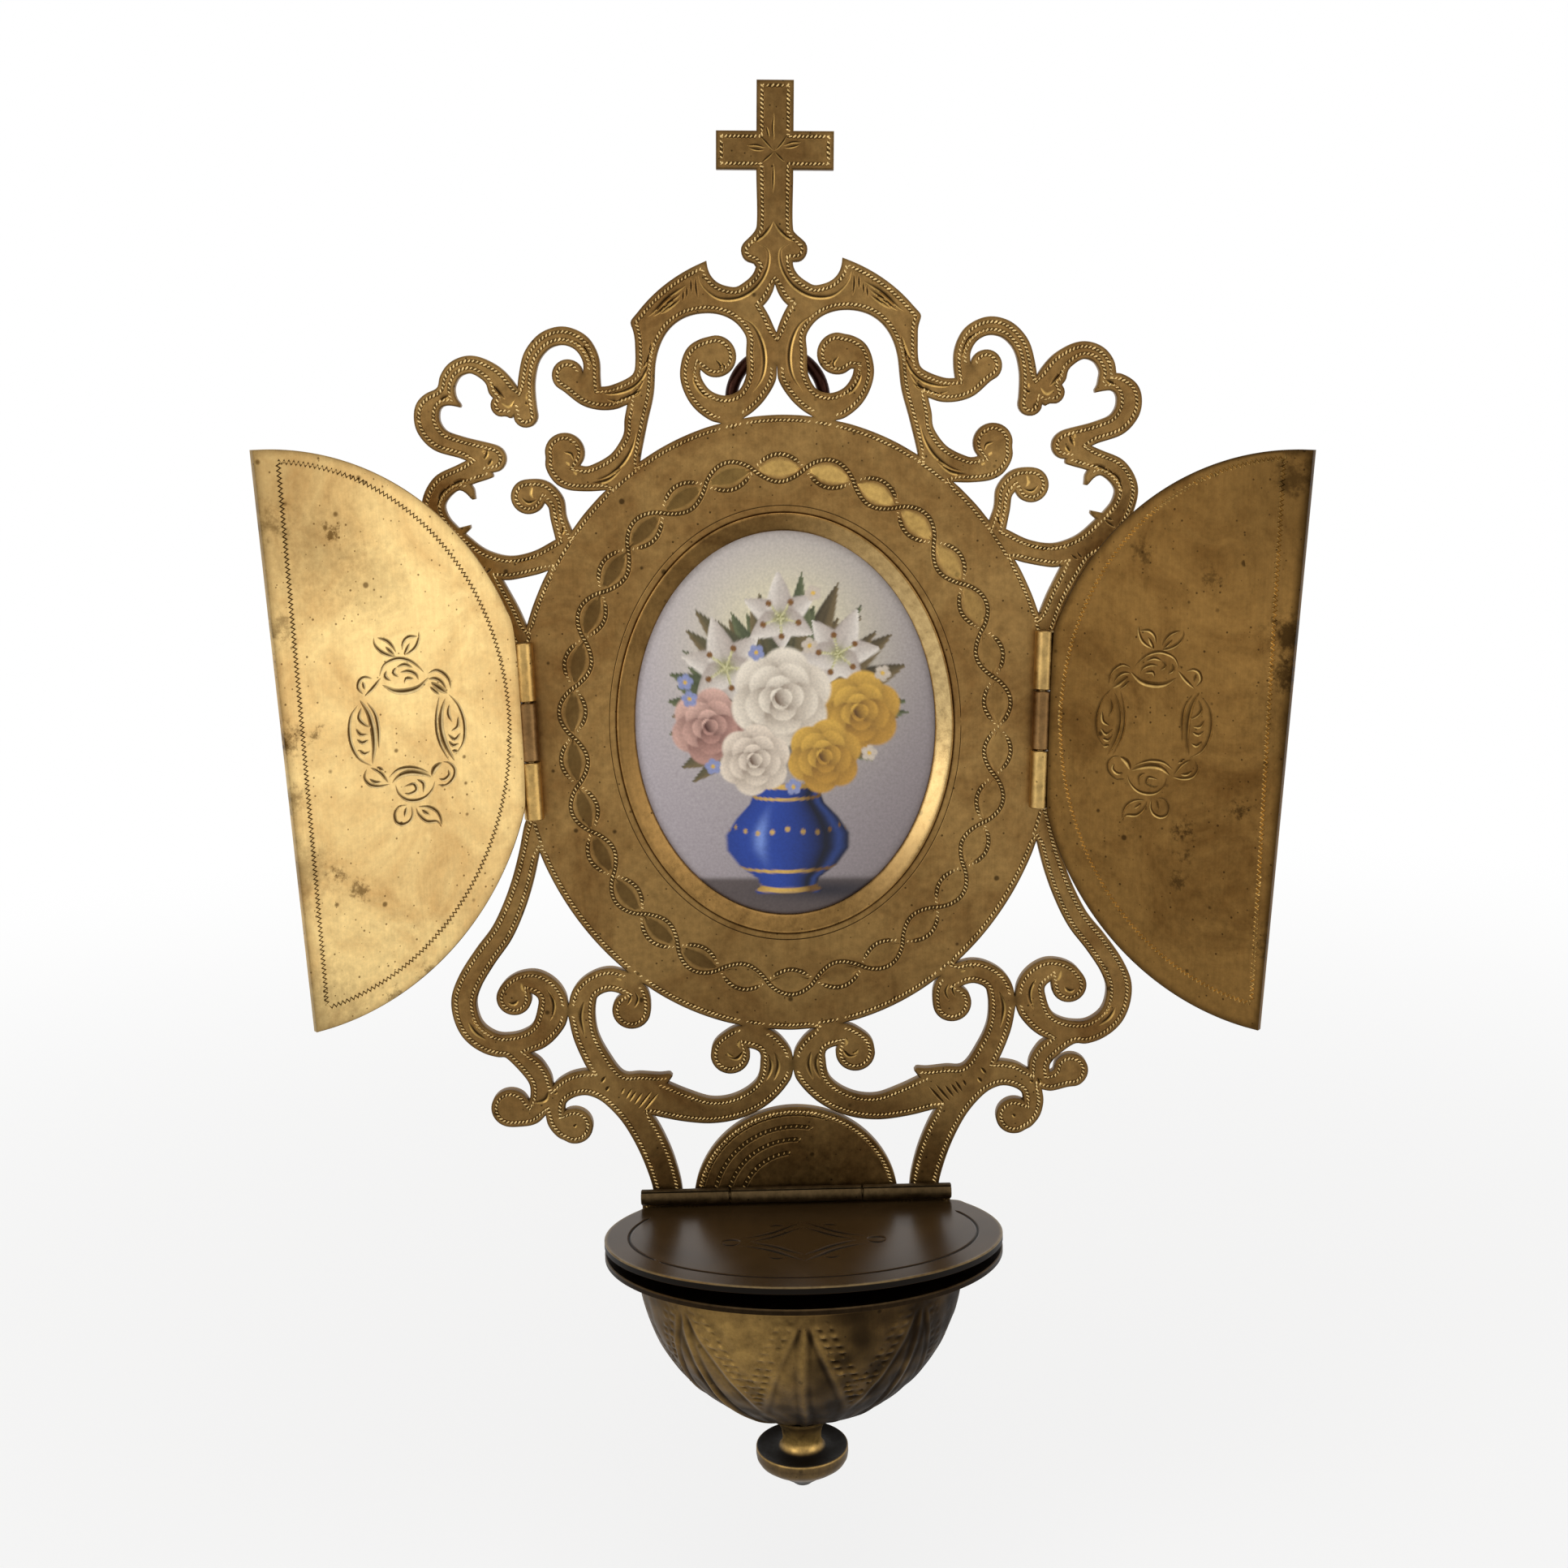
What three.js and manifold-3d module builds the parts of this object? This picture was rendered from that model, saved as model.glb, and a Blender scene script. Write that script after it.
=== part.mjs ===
// A wall-hung brass holy water stoup: a fret-cut back plate with a cross, an oval porcelain plaque
// in a bezel, two half-oval doors on barrel hinges, and a half-round font with a hinged lid.
import * as THREE from 'three';
import { mergeVertices } from 'three/addons/utils/BufferGeometryUtils.js';
import Module from 'manifold-3d';

const wasm = await Module();
wasm.setup();

// Driving dimensions, in millimetres and degrees. x runs right, y back into the wall, z up.
// The origin is on the wall, midway between the two door hinges.
const SHEET = 1.8; // back plate
const WALL_GAP = 4.5; // back of the plate to the wall
const SEAM = 0.2; // between soldered or seated pieces

const DISC_WIDTH = 96;
const DISC_HEIGHT = 110;
const DISC_DROP = 1.4; // disc centre below the hinges' middle

const DRAFT_GRID = 1; // the fretwork is drawn on a one-millimetre grid, round a disc of this size
const DRAFT_WIDTH = 96;
const DRAFT_TOP_HEIGHT = 53.6;
const DRAFT_BOTTOM_DEPTH = 56.4;

const SIGHT_WIDTH = 53.1; // the part of the plaque that shows
const SIGHT_HEIGHT = 68.8;
const SIGHT_DROP = 0.6;
const BEZEL_WIDTH = 3.2; // sloped face round the plaque
const BEZEL_RECESS = 1.1; // inner edge of the slope below the plate
const BEZEL_PROUD = 0.3; // outer edge of the slope above the plate
const BEZEL_LIP = 0.8;
const BEZEL_FLANGE = 2.6; // behind the plate
const BEZEL_FLANGE_THICKNESS = 1;
const PLAQUE_LAP = 1.6; // hidden by the bezel's lip
const PLAQUE_EDGE = 2;
const PLAQUE_CROWN = 0.9;
const COLLAR_WALL = 0.9; // holds the plaque from behind
const CAP_WALL = 0.8; // backing cap over the collar
const CAP_SKIRT = 2.9;

const CROSS_FOOT = 26.4; // where the cross grows out of the waist, above the disc's top
const CROSS_HEIGHT = 28.2;
const CROSS_ARM = 6.2;
const CROSS_SPAN = 19.7;
const CROSS_BAR_RISE = 17; // foot to the middle of the bar
const CROSS_LEAN = 1.7; // the cross is bent a little to the right
const PANEL_RADIUS = 19; // half-round panel over the lid
const PANEL_DROP = 33.8; // its middle below the disc's bottom
const APRON_MARGIN = 2.6; // apron beyond the bowl's back

const DOOR_HEIGHT = 95.8;
const LEFT_DOOR_LIFT = 3.9; // the left door sits higher on its hinge
const RIGHT_DOOR_LIFT = 1.4;
const DOOR_SHEET = 1.2;
const DOOR_GAP = 0.4; // between the closed doors
const DOOR_OPEN = 143.5; // as it stands, from closed
const HINGE_INSET = 3; // hinge axes in from the disc's sides
const DOOR_LAP = 0.8; // the oval that the two doors make, past the hinge axes
const LEFT_HINGE_LEAN = 1.1; // the axes lean outwards at the top
const RIGHT_HINGE_LEAN = 2;
const HINGE_LENGTH = 31.4;
const KNUCKLE_RADIUS = 1.75;
const PIN_RADIUS = 0.8;
const PIN_PLAY = 0.15;
const KNUCKLE_GAP = 0.3;

const LID_WIDTH = 70.2;
const LID_SHIFT = 1.1; // the lid and the flange sit to the right of the bowl's middle
const LID_REACH = 42; // front of the lid from the plate
const LID_CENTRE = 16.6; // middle of the lid's oval from the plate
const LID_SHEET = 1.2;
const LID_AJAR = 3.5; // the hinge stops the lid short of the flange
const LID_SEAT = 0.3; // left between the flange and the closed lid
const LID_HINGE_DROP = 30.9; // below the disc's bottom
const LID_HINGE_LENGTH = 57;
const LID_MIDDLE_KNUCKLE = 24;
const LID_KNUCKLE_RADIUS = 1.6;

const FLANGE_THICKNESS = 1;
const BOWL_WIDTH = 58.6;
const BOWL_REACH = 37.4; // front of the bowl from the plate
const BOWL_DEPTH = 32.3;
const BOWL_WALL = 1;
const RIVET_SPREAD = 16;
const RIVET_DROP = 7; // below the rim
const RIVET_SHANK = 1.2;
const RIVET_HEAD = 2.2;
const RIVET_HEAD_THICKNESS = 0.9;

const FINIAL_COLLAR = 6; // radii down the finial
const FINIAL_NECK = 3.7;
const FINIAL_DISC = 8.3;
const FINIAL_COLLAR_HEIGHT = 1;
const FINIAL_NECK_LENGTH = 5;
const FINIAL_DISH = 0.9; // hollow in the disc's top
const FINIAL_RIM = 1.4;
const FINIAL_CAP = 6.4;
const STUD_RADIUS = 1.5;
const NUT_RADIUS = 3.2;
const NUT_THICKNESS = 2;
const STUD_END = 0.8; // beyond the nut

const RING_RADIUS = 8; // to the middle of the wire
const RING_WIRE = 2.2;
const RING_PIVOT_DROP = 5.4; // below the disc's top
const STAPLE_PLAY = 0.45;
const STAPLE_STRAP = 0.8;
const STAPLE_WIDTH = 4;
const STAPLE_FOOT = 2.5;

// Places that several pieces share.
const discTop = DISC_HEIGHT / 2 - DISC_DROP;
const discBottom = -DISC_HEIGHT / 2 - DISC_DROP;
const hingeSide = DISC_WIDTH / 2 - HINGE_INSET;
const doorWidth = hingeSide + DOOR_LAP;
const lidHingeHeight = discBottom - LID_HINGE_DROP;
const plateBack = -WALL_GAP;
const plateFront = plateBack - SHEET;
const hingeDepth = plateFront - KNUCKLE_RADIUS - SEAM;
const lidHingeDepth = plateFront - LID_KNUCKLE_RADIUS - SEAM;
const ovalCentre = plateFront - LID_CENTRE;
const lidDrop = LID_KNUCKLE_RADIUS + SEAM; // top of the lid below its hinge axis
const flangeTop = lidHingeHeight - lidDrop - LID_SHEET - LID_SEAT;
const bowlRim = flangeTop - FLANGE_THICKNESS - SEAM;
const bowlBack = plateFront - SEAM;
const bowlHalfDepth = BOWL_REACH - LID_CENTRE;
const bowlBottom = bowlRim - BOWL_DEPTH;
const sightHalf = new THREE.Vector2(SIGHT_WIDTH / 2, SIGHT_HEIGHT / 2);
const lipBack = plateFront + BEZEL_RECESS + BEZEL_LIP;

// Colours and finishes.
const finish = (color, roughness, metalness) =>
  new THREE.MeshStandardMaterial({ color, roughness, metalness });
const plateBrass = finish(0x8a6a35, 0.42, 1);
const doorBrass = finish(0xa98545, 0.38, 1);
const pinBrass = finish(0x6e5528, 0.5, 1);
const darkBronze = finish(0x4a3a22, 0.4, 1);
const porcelain = finish(0xbdb6c2, 0.12, 0);
const card = finish(0xb59a72, 0.9, 0);
const darkIron = finish(0x2b1d16, 0.6, 1);

// Closed geometry to a solid for joining and cutting, and back again.
function solidOf(geometry) {
  const bare = geometry.clone();
  bare.deleteAttribute('normal');
  bare.deleteAttribute('uv');
  const merged = mergeVertices(bare, 1e-4);
  const mesh = new wasm.Mesh({
    numProp: 3,
    vertProperties: new Float32Array(merged.attributes.position.array),
    triVerts: new Uint32Array(merged.index.array),
  });
  return new wasm.Manifold(mesh);
}

function geometryOf(solid) {
  const mesh = solid.getMesh();
  const geometry = new THREE.BufferGeometry();
  geometry.setAttribute('position', new THREE.BufferAttribute(mesh.vertProperties, 3));
  geometry.setIndex(new THREE.BufferAttribute(mesh.triVerts, 1));
  return geometry;
}

const join = (geometries) => geometries.map(solidOf).reduce((whole, piece) => whole.add(piece));
const cut = (solid, geometries) =>
  geometries.map(solidOf).reduce((whole, piece) => whole.subtract(piece), solid);

const extruded = (shape, depth, curveSegments) =>
  new THREE.ExtrudeGeometry(shape, { depth, bevelEnabled: false, curveSegments });

// A shape drawn in x and z becomes a slab whose rear face is at y = back.
function slab(shape, thickness, back, curveSegments = 12) {
  return extruded(shape, thickness, curveSegments).rotateX(Math.PI / 2).translate(0, back, 0);
}

// A shape drawn in x and y becomes a level plate whose underside is at z = bottom.
function plate(shape, thickness, bottom, curveSegments = 24) {
  return extruded(shape, thickness, curveSegments).translate(0, 0, bottom);
}

const ellipse = (halfWidth, halfHeight, z = 0) =>
  new THREE.Shape().absellipse(0, z, halfWidth, halfHeight, 0, 2 * Math.PI);

const rectangle = (left, right, bottom, top) =>
  new THREE.Shape([[left, bottom], [right, bottom], [right, top], [left, top]]
    .map(([x, z]) => new THREE.Vector2(x, z)));

// A profile of (radius, height) points turned round the upright axis.
function turned(profile, segments = 24) {
  const points = profile.map(([radius, height]) => new THREE.Vector2(radius, height));
  return new THREE.LatheGeometry(points, segments).rotateX(Math.PI / 2);
}

// A barrel or pin along the upright axis, centred on z = 0.
function tube(outer, inner, length) {
  const half = length / 2;
  return turned([[inner, -half], [outer, -half], [outer, half], [inner, half], [inner, -half]], 16);
}

function rod(radius, length) {
  const half = length / 2;
  return turned([[0, -half], [radius, -half], [radius, half], [0, half]], 16);
}

const stoup = new THREE.Group();

function add(name, geometry, material, parent = stoup) {
  const mesh = new THREE.Mesh(geometry, material);
  mesh.name = name;
  parent.add(mesh);
  return mesh;
}

// Fretwork, drawn for the right-hand side: each band is a row of stations [x, z, width] along its
// middle, and each curl ends in a round eye [x, z, radius]. Feet run well into the disc.
const BANDS = {
  crestScroll: [[2.6, 74, 4.6], [2.5, 69, 5], [2.5, 64.5, 5.4], [2.7, 60.2, 5.2], [5.2, 56.2, 4.3],
    [8.9, 54.6, 4.9], [12.8, 56.4, 4.1], [14.8, 60.3, 3.5], [14, 64, 3.2], [11.9, 65.3, 3], [10.2, 65.4, 3]],
  outerPost: [[30, 33, 5], [26.8, 43, 4.4], [25, 49, 3.2], [24.3, 53.5, 4], [23.2, 58, 4.1],
    [22.4, 62.5, 3.4], [22.2, 66.5, 3.8]],
  upperStem: [[25.4, 51, 2], [26.6, 47.4, 3.6], [29.6, 44.2, 5.2], [33.6, 43.5, 4.2],
    [36.8, 44.2, 4.4], [38.5, 46, 3.4], [38.4, 47.8, 3.2]],
  lowerStem: [[35, 27, 3.4], [37.4, 33, 3.4], [38.3, 36.5, 2.8], [38.7, 39.5, 3], [40.6, 41.7, 3.2],
    [42.8, 42.1, 3.2], [44.4, 41.6, 3]],
  sideScroll: [[23.6, 59, 4.5], [26.6, 57.6, 4.2], [29.6, 57, 4], [32.7, 57.7, 3.8],
    [35.2, 59.5, 3.4], [36.4, 60.6, 3.4]],
  sideArch: [[43, 55, 3.6], [42.8, 60, 2.9], [41.7, 64.2, 2.9], [39.2, 66.9, 3], [36.1, 67.6, 3.1],
    [33.2, 66.3, 3], [31.7, 63.6, 2.8], [31.6, 61, 2.9], [32.2, 58.4, 3.4]],
  outerArch: [[44.2, 55.2, 4.2], [46.5, 58.1, 5], [48.6, 61.4, 3.6], [52.2, 63.2, 3], [55.1, 62.2, 2.9],
    [56.5, 59.5, 2.9], [55.9, 57.6, 2.4]],
  upperLobe: [[55.4, 57.9, 3], [58, 57.7, 3.2], [59.9, 55.9, 4.2], [60, 53.2, 4.3], [58.3, 50.8, 4],
    [55.2, 49.5, 3.6], [52, 48.8, 4.2], [49.6, 47.7, 4.5]],
  lowerLobe: [[50, 46.4, 4.4], [54.2, 44.7, 4], [57.9, 42.9, 4.2], [59.8, 39.8, 4], [59, 36.2, 4.2],
    [56.2, 32.6, 5], [52.4, 29.6, 5], [47.5, 28.5, 4.2], [43, 29.2, 4], [36, 32, 5]],
  upperStay: [[53, 30, 4.2], [50.2, 25.5, 3.8], [47.6, 20.5, 3.6], [45, 14, 3.8], [41, 7, 4]],
  lowerStay: [[41, -8, 4], [44.4, -15, 3.6], [46.2, -22, 3.6], [48.6, -30, 3.9], [52.2, -37.5, 4.2],
    [56.8, -43.6, 4.4], [59.4, -49.5, 4.6], [58.2, -55, 4.5], [54.4, -57.9, 4.4], [49.8, -58, 4.4],
    [45.8, -56.2, 4.8], [43.4, -52.2, 5.8], [43.8, -48.4, 4.8], [46.4, -46.3, 4.3],
    [49.4, -46.6, 3.9], [51.4, -48, 3.2], [51.9, -49.6, 3]],
  innerScroll: [[29.5, -69.5, 5], [33, -65.4, 5.2], [36.2, -60.4, 4.7], [37.9, -55.5, 4.6],
    [38.2, -51.4, 5.1], [36.8, -47.9, 4.4], [33.4, -46.2, 4.4], [30, -46.9, 4.4],
    [27.8, -49.2, 4], [27.3, -52.2, 3.4]],
  footScroll: [[34.5, -66.5, 4.6], [30, -67.8, 6.2], [25, -68.9, 6.8], [20, -70.6, 5.8],
    [14.5, -71.6, 4.7], [9, -70.4, 4.6], [4.7, -67.2, 5], [2.9, -63, 6.3], [4.3, -59, 4.8],
    [7.9, -57.4, 4.5], [11, -58.2, 4.2], [13, -59.6, 3.4], [13.4, -61.2, 3.2]],
  strut: [[40.2, -75.7, 3.2], [42, -75, 3.4], [43.5, -73.2, 3.5], [43.9, -70.8, 3.7], [43.3, -68.3, 3.9],
    [41.2, -66.4, 4.4], [38, -65.6, 4.8],
    [34.5, -66.6, 5.2], [31.2, -69.4, 5.4], [28.6, -73, 5.5], [26.6, -77, 5.5], [24.9, -81.5, 5.5],
    [23.6, -87, 5.3], [23.2, -91, 5.3]],
  archSpur: [[56.4, 58.4, 2.4], [55.4, 57, 1.6], [54.2, 56.2, 0.4]],
  lobeSpur: [[55.4, 43.8, 3], [53.6, 42.2, 1.8], [52.7, 40.4, 0.4]],
  staySpur: [[57.4, 33.8, 3], [55.6, 35, 1.8], [53.6, 35.9, 0.4]],
  footSpur: [[33, -66.4, 5], [27.6, -66.3, 4.6], [24.2, -65.6, 2.8], [22.2, -64.5, 0.5]],
};
const EYES = [[10.4, 63.6, 3.5], [36.8, 48, 3.4], [43.4, 40.7, 3], [35.7, 61, 2.7], [43.2, 54.5, 2.1],
  [47.1, 56.3, 2], [49.3, 47.3, 2.4], [50.3, -49.2, 3.2], [29.1, -52, 3.5], [11.4, -60.9, 3.6],
  [40.4, -73.9, 3.4], [3.5, 80.9, 2.1]];
// The tails below were bent by hand and differ: the left one hangs lower.
const TAILS = {
  left: [[51.5, -59, 3.6], [48.2, -61.8, 4.3], [46.2, -65.2, 4.3], [46.4, -69, 4.1],
    [48, -71.4, 3.8], [50.4, -72.1, 3.4], [52, -72.1, 3.2]],
  right: [[51, -58.6, 3.4], [47.4, -60.6, 4], [45, -63.8, 3.9], [45.3, -66.6, 3.8],
    [47, -67.5, 3.5], [49.4, -67.1, 3.1], [50.9, -66.9, 3]],
};
const TAIL_EYES = { left: [51.9, -70.2, 3.6], right: [50.7, -65.4, 3.2] };
const FINE_STEPS = 16; // looked at between two stations
const TURN_STEP = THREE.MathUtils.degToRad(17); // a facet's turn on a bend
const RUN_STEP = 5; // a facet's length on a straight

// A place in the fretwork's drawing: it follows the disc's sides, and its top or its bottom.
function drawn(x, z) {
  const rise = z > 0 ? discTop - DRAFT_TOP_HEIGHT : discBottom + DRAFT_BOTTOM_DEPTH;
  return [(x * DRAFT_GRID * DISC_WIDTH) / DRAFT_WIDTH, z * DRAFT_GRID + rise];
}

// Points along a band's middle, close together on bends only; z holds the width.
function bandPoints(stations, side) {
  const curve = new THREE.CatmullRomCurve3(stations.map(([x, z, width]) =>
    new THREE.Vector3(...drawn(side * x, z), width * DRAFT_GRID)));
  const fine = curve.getPoints(FINE_STEPS * (stations.length - 1));
  const heading = (i) => Math.atan2(fine[i + 1].y - fine[i].y, fine[i + 1].x - fine[i].x);
  const kept = [0];
  for (let i = 1; i < fine.length - 1; i += 1) {
    const last = kept.at(-1);
    const turn = Math.abs(Math.sin((heading(i) - heading(last)) / 2)) * 2;
    if (turn > TURN_STEP || fine[i].distanceTo(fine[last]) > RUN_STEP) kept.push(i);
  }
  kept.push(fine.length - 1);
  return kept.map((i) => {
    const before = fine[Math.max(i - 1, 0)];
    const after = fine[Math.min(i + 1, fine.length - 1)];
    const along = new THREE.Vector2(after.x - before.x, after.y - before.y).normalize();
    return { middle: fine[i], across: new THREE.Vector2(-along.y, along.x) };
  });
}

function band(stations, side) {
  const points = bandPoints(stations, side);
  const edge = (sign) => points.map(({ middle, across }) => new THREE.Vector2(
    middle.x + (sign * across.x * middle.z) / 2, middle.y + (sign * across.y * middle.z) / 2));
  return slab(new THREE.Shape([...edge(1), ...edge(-1).reverse()]), SHEET, plateBack);
}

function eye([x, z, radius], side) {
  const outline = new THREE.Shape().absarc(...drawn(side * x, z), radius * DRAFT_GRID, 0, 2 * Math.PI);
  return slab(outline, SHEET, plateBack, 8);
}

// The pointed horn over each crest scroll, and the waist under the cross.
function horn(side) {
  const at = (x, z) => drawn(side * x, z);
  const shape = new THREE.Shape();
  shape.moveTo(...at(24.1, 63));
  shape.quadraticCurveTo(...at(23.7, 67), ...at(24.7, 69.5));
  shape.quadraticCurveTo(...at(20, 76.2), ...at(11.5, 79.4));
  shape.quadraticCurveTo(...at(11.2, 75.1), ...at(6.6, 75));
  shape.lineTo(...at(2, 76));
  shape.lineTo(...at(2, 70));
  shape.lineTo(...at(4.9, 66));
  shape.bezierCurveTo(...at(5.9, 69.4), ...at(8.8, 70.8), ...at(11.8, 70.8));
  shape.bezierCurveTo(...at(16.2, 70.8), ...at(19.6, 68.4), ...at(20.6, 63));
  return slab(shape, SHEET, plateBack, 7);
}

function waist(side) {
  const at = (x, z) => drawn(side * x, z);
  const shape = new THREE.Shape();
  shape.moveTo(...at(-0.5, 87));
  shape.lineTo(...at(2.9, 84.6));
  shape.quadraticCurveTo(...at(3.4, 83.5), ...at(5.2, 82.2));
  shape.lineTo(...at(3.1, 79));
  shape.quadraticCurveTo(...at(3, 76.6), ...at(6.6, 75));
  shape.lineTo(...at(4, 71));
  shape.lineTo(...at(-0.5, 74));
  return slab(shape, SHEET, plateBack, 6);
}

// The slim four-pointed gap between the two crest scrolls.
function crestGap() {
  const shape = new THREE.Shape();
  shape.moveTo(...drawn(0, 75.3));
  shape.quadraticCurveTo(...drawn(0.6, 73), ...drawn(2.1, 71.8));
  shape.quadraticCurveTo(...drawn(0.8, 69.8), ...drawn(0, 67.2));
  shape.quadraticCurveTo(...drawn(-0.8, 69.8), ...drawn(-2.1, 71.8));
  shape.quadraticCurveTo(...drawn(-0.6, 73), ...drawn(0, 75.3));
  return slab(shape, 3 * SHEET, plateBack + SHEET, 4);
}

// The cross is drawn from its foot, then bent over as it stands.
function cross() {
  const arm = CROSS_ARM / 2;
  const reach = CROSS_SPAN / 2;
  const shaft = slab(rectangle(-arm, arm, 0, CROSS_HEIGHT), SHEET, plateBack);
  const bar = slab(rectangle(-reach, reach, CROSS_BAR_RISE - arm, CROSS_BAR_RISE + arm), SHEET, plateBack);
  const bend = THREE.MathUtils.degToRad(CROSS_LEAN);
  return [shaft, bar].map((piece) => piece.rotateY(bend).translate(0, 0, discTop + CROSS_FOOT));
}

function backPlate() {
  const hingeFlat = hingeSide + KNUCKLE_RADIUS / 2;
  const panelHeight = discBottom - PANEL_DROP;
  const disc = solidOf(slab(ellipse(DISC_WIDTH / 2, DISC_HEIGHT / 2, -DISC_DROP), SHEET, plateBack, 36));
  const core = solidOf(slab(rectangle(-hingeFlat, hingeFlat, -DISC_HEIGHT, DISC_HEIGHT), SHEET, plateBack));
  const backScale = Math.sqrt(1 - (LID_CENTRE / bowlHalfDepth) ** 2);
  const apron = new THREE.Shape();
  apron.absellipse(0, bowlRim, (BOWL_WIDTH / 2) * backScale + APRON_MARGIN,
    BOWL_DEPTH * backScale + APRON_MARGIN, Math.PI, 2 * Math.PI);
  const pieces = [
    ...cross(),
    slab(new THREE.Shape().absarc(0, panelHeight, PANEL_RADIUS, 0, 2 * Math.PI), SHEET, plateBack, 20),
    slab(rectangle(-LID_HINGE_LENGTH / 2, LID_HINGE_LENGTH / 2, bowlRim, lidHingeHeight), SHEET, plateBack),
    slab(apron, SHEET, plateBack, 12),
  ];
  for (const side of [-1, 1]) {
    const hand = side < 0 ? 'left' : 'right';
    for (const stations of [...Object.values(BANDS), TAILS[hand]]) pieces.push(band(stations, side));
    for (const place of [...EYES, TAIL_EYES[hand]]) pieces.push(eye(place, side));
    pieces.push(horn(side), waist(side));
  }
  const opening = slab(ellipse(sightHalf.x + BEZEL_WIDTH, sightHalf.y + BEZEL_WIDTH, -SIGHT_DROP), 3 * SHEET,
    plateBack + SHEET, 32);
  const holes = [-1, 1].map((side) => rivetHole(side, 3 * SHEET, plateBack + SHEET));
  return geometryOf(cut(disc.intersect(core).add(join(pieces)), [opening, crestGap(), ...holes]));
}

const rivetPlace = (side) => [(side * RIVET_SPREAD) / 2, bowlRim - RIVET_DROP];

function rivetHole(side, depth, back) {
  const [x, z] = rivetPlace(side);
  return slab(new THREE.Shape().absarc(x, z, RIVET_SHANK + SEAM, 0, 2 * Math.PI), depth, back, 8);
}

// An oval ring: its profile is (distance out from the sight oval, y), turned and then drawn out to
// the oval's width.
function ovalRing(profile) {
  const points = profile.map(([out, y]) => new THREE.Vector2(sightHalf.y + out, y));
  const geometry = new THREE.LatheGeometry([...points, points[0]], 48);
  const place = geometry.attributes.position;
  for (let i = 0; i < place.count; i += 1) {
    const angle = Math.atan2(place.getX(i), place.getZ(i));
    place.setX(i, place.getX(i) + (sightHalf.x - sightHalf.y) * Math.sin(angle));
  }
  return geometry.translate(0, 0, -SIGHT_DROP);
}

function bezelRing() {
  const outside = BEZEL_WIDTH - SEAM;
  const flangeFront = plateBack + SEAM;
  const flangeBack = flangeFront + BEZEL_FLANGE_THICKNESS;
  const seat = PLAQUE_LAP + SEAM;
  const collarBack = -CAP_WALL - SEAM;
  return ovalRing([
    [outside, plateFront - BEZEL_PROUD], [outside, flangeFront],
    [outside + BEZEL_FLANGE, flangeFront], [outside + BEZEL_FLANGE, flangeBack],
    [seat + COLLAR_WALL, flangeBack], [seat + COLLAR_WALL, collarBack],
    [seat, collarBack], [seat, lipBack], [0, lipBack], [0, plateFront + BEZEL_RECESS],
  ]);
}

// The plaque is a domed oval; the dome is an arc over its height.
function plaque() {
  const half = sightHalf.y + PLAQUE_LAP;
  const front = lipBack + SEAM;
  const rings = 5;
  const profile = [];
  for (let i = 0; i <= rings; i += 1) {
    const share = i / rings;
    profile.push(new THREE.Vector2(half * share, front - PLAQUE_CROWN * (1 - share * share)));
  }
  profile.push(new THREE.Vector2(half, front + PLAQUE_EDGE), new THREE.Vector2(0, front + PLAQUE_EDGE));
  const geometry = new THREE.LatheGeometry(profile, 48);
  return geometry.scale((sightHalf.x + PLAQUE_LAP) / half, 1, 1).translate(0, 0, -SIGHT_DROP);
}

const sightOval = (out) => ellipse(sightHalf.x + out, sightHalf.y + out, -SIGHT_DROP);

function packing() {
  const front = lipBack + SEAM + PLAQUE_EDGE + SEAM;
  const back = -CAP_WALL - SEAM;
  return slab(sightOval(PLAQUE_LAP), back - front, back, 24);
}

function backingCap() {
  const inside = PLAQUE_LAP + SEAM + COLLAR_WALL + SEAM;
  const hollow = slab(sightOval(inside), CAP_SKIRT, -CAP_WALL, 24);
  return geometryOf(cut(solidOf(slab(sightOval(inside + CAP_WALL), CAP_SKIRT, 0, 24)), [hollow]));
}

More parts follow.
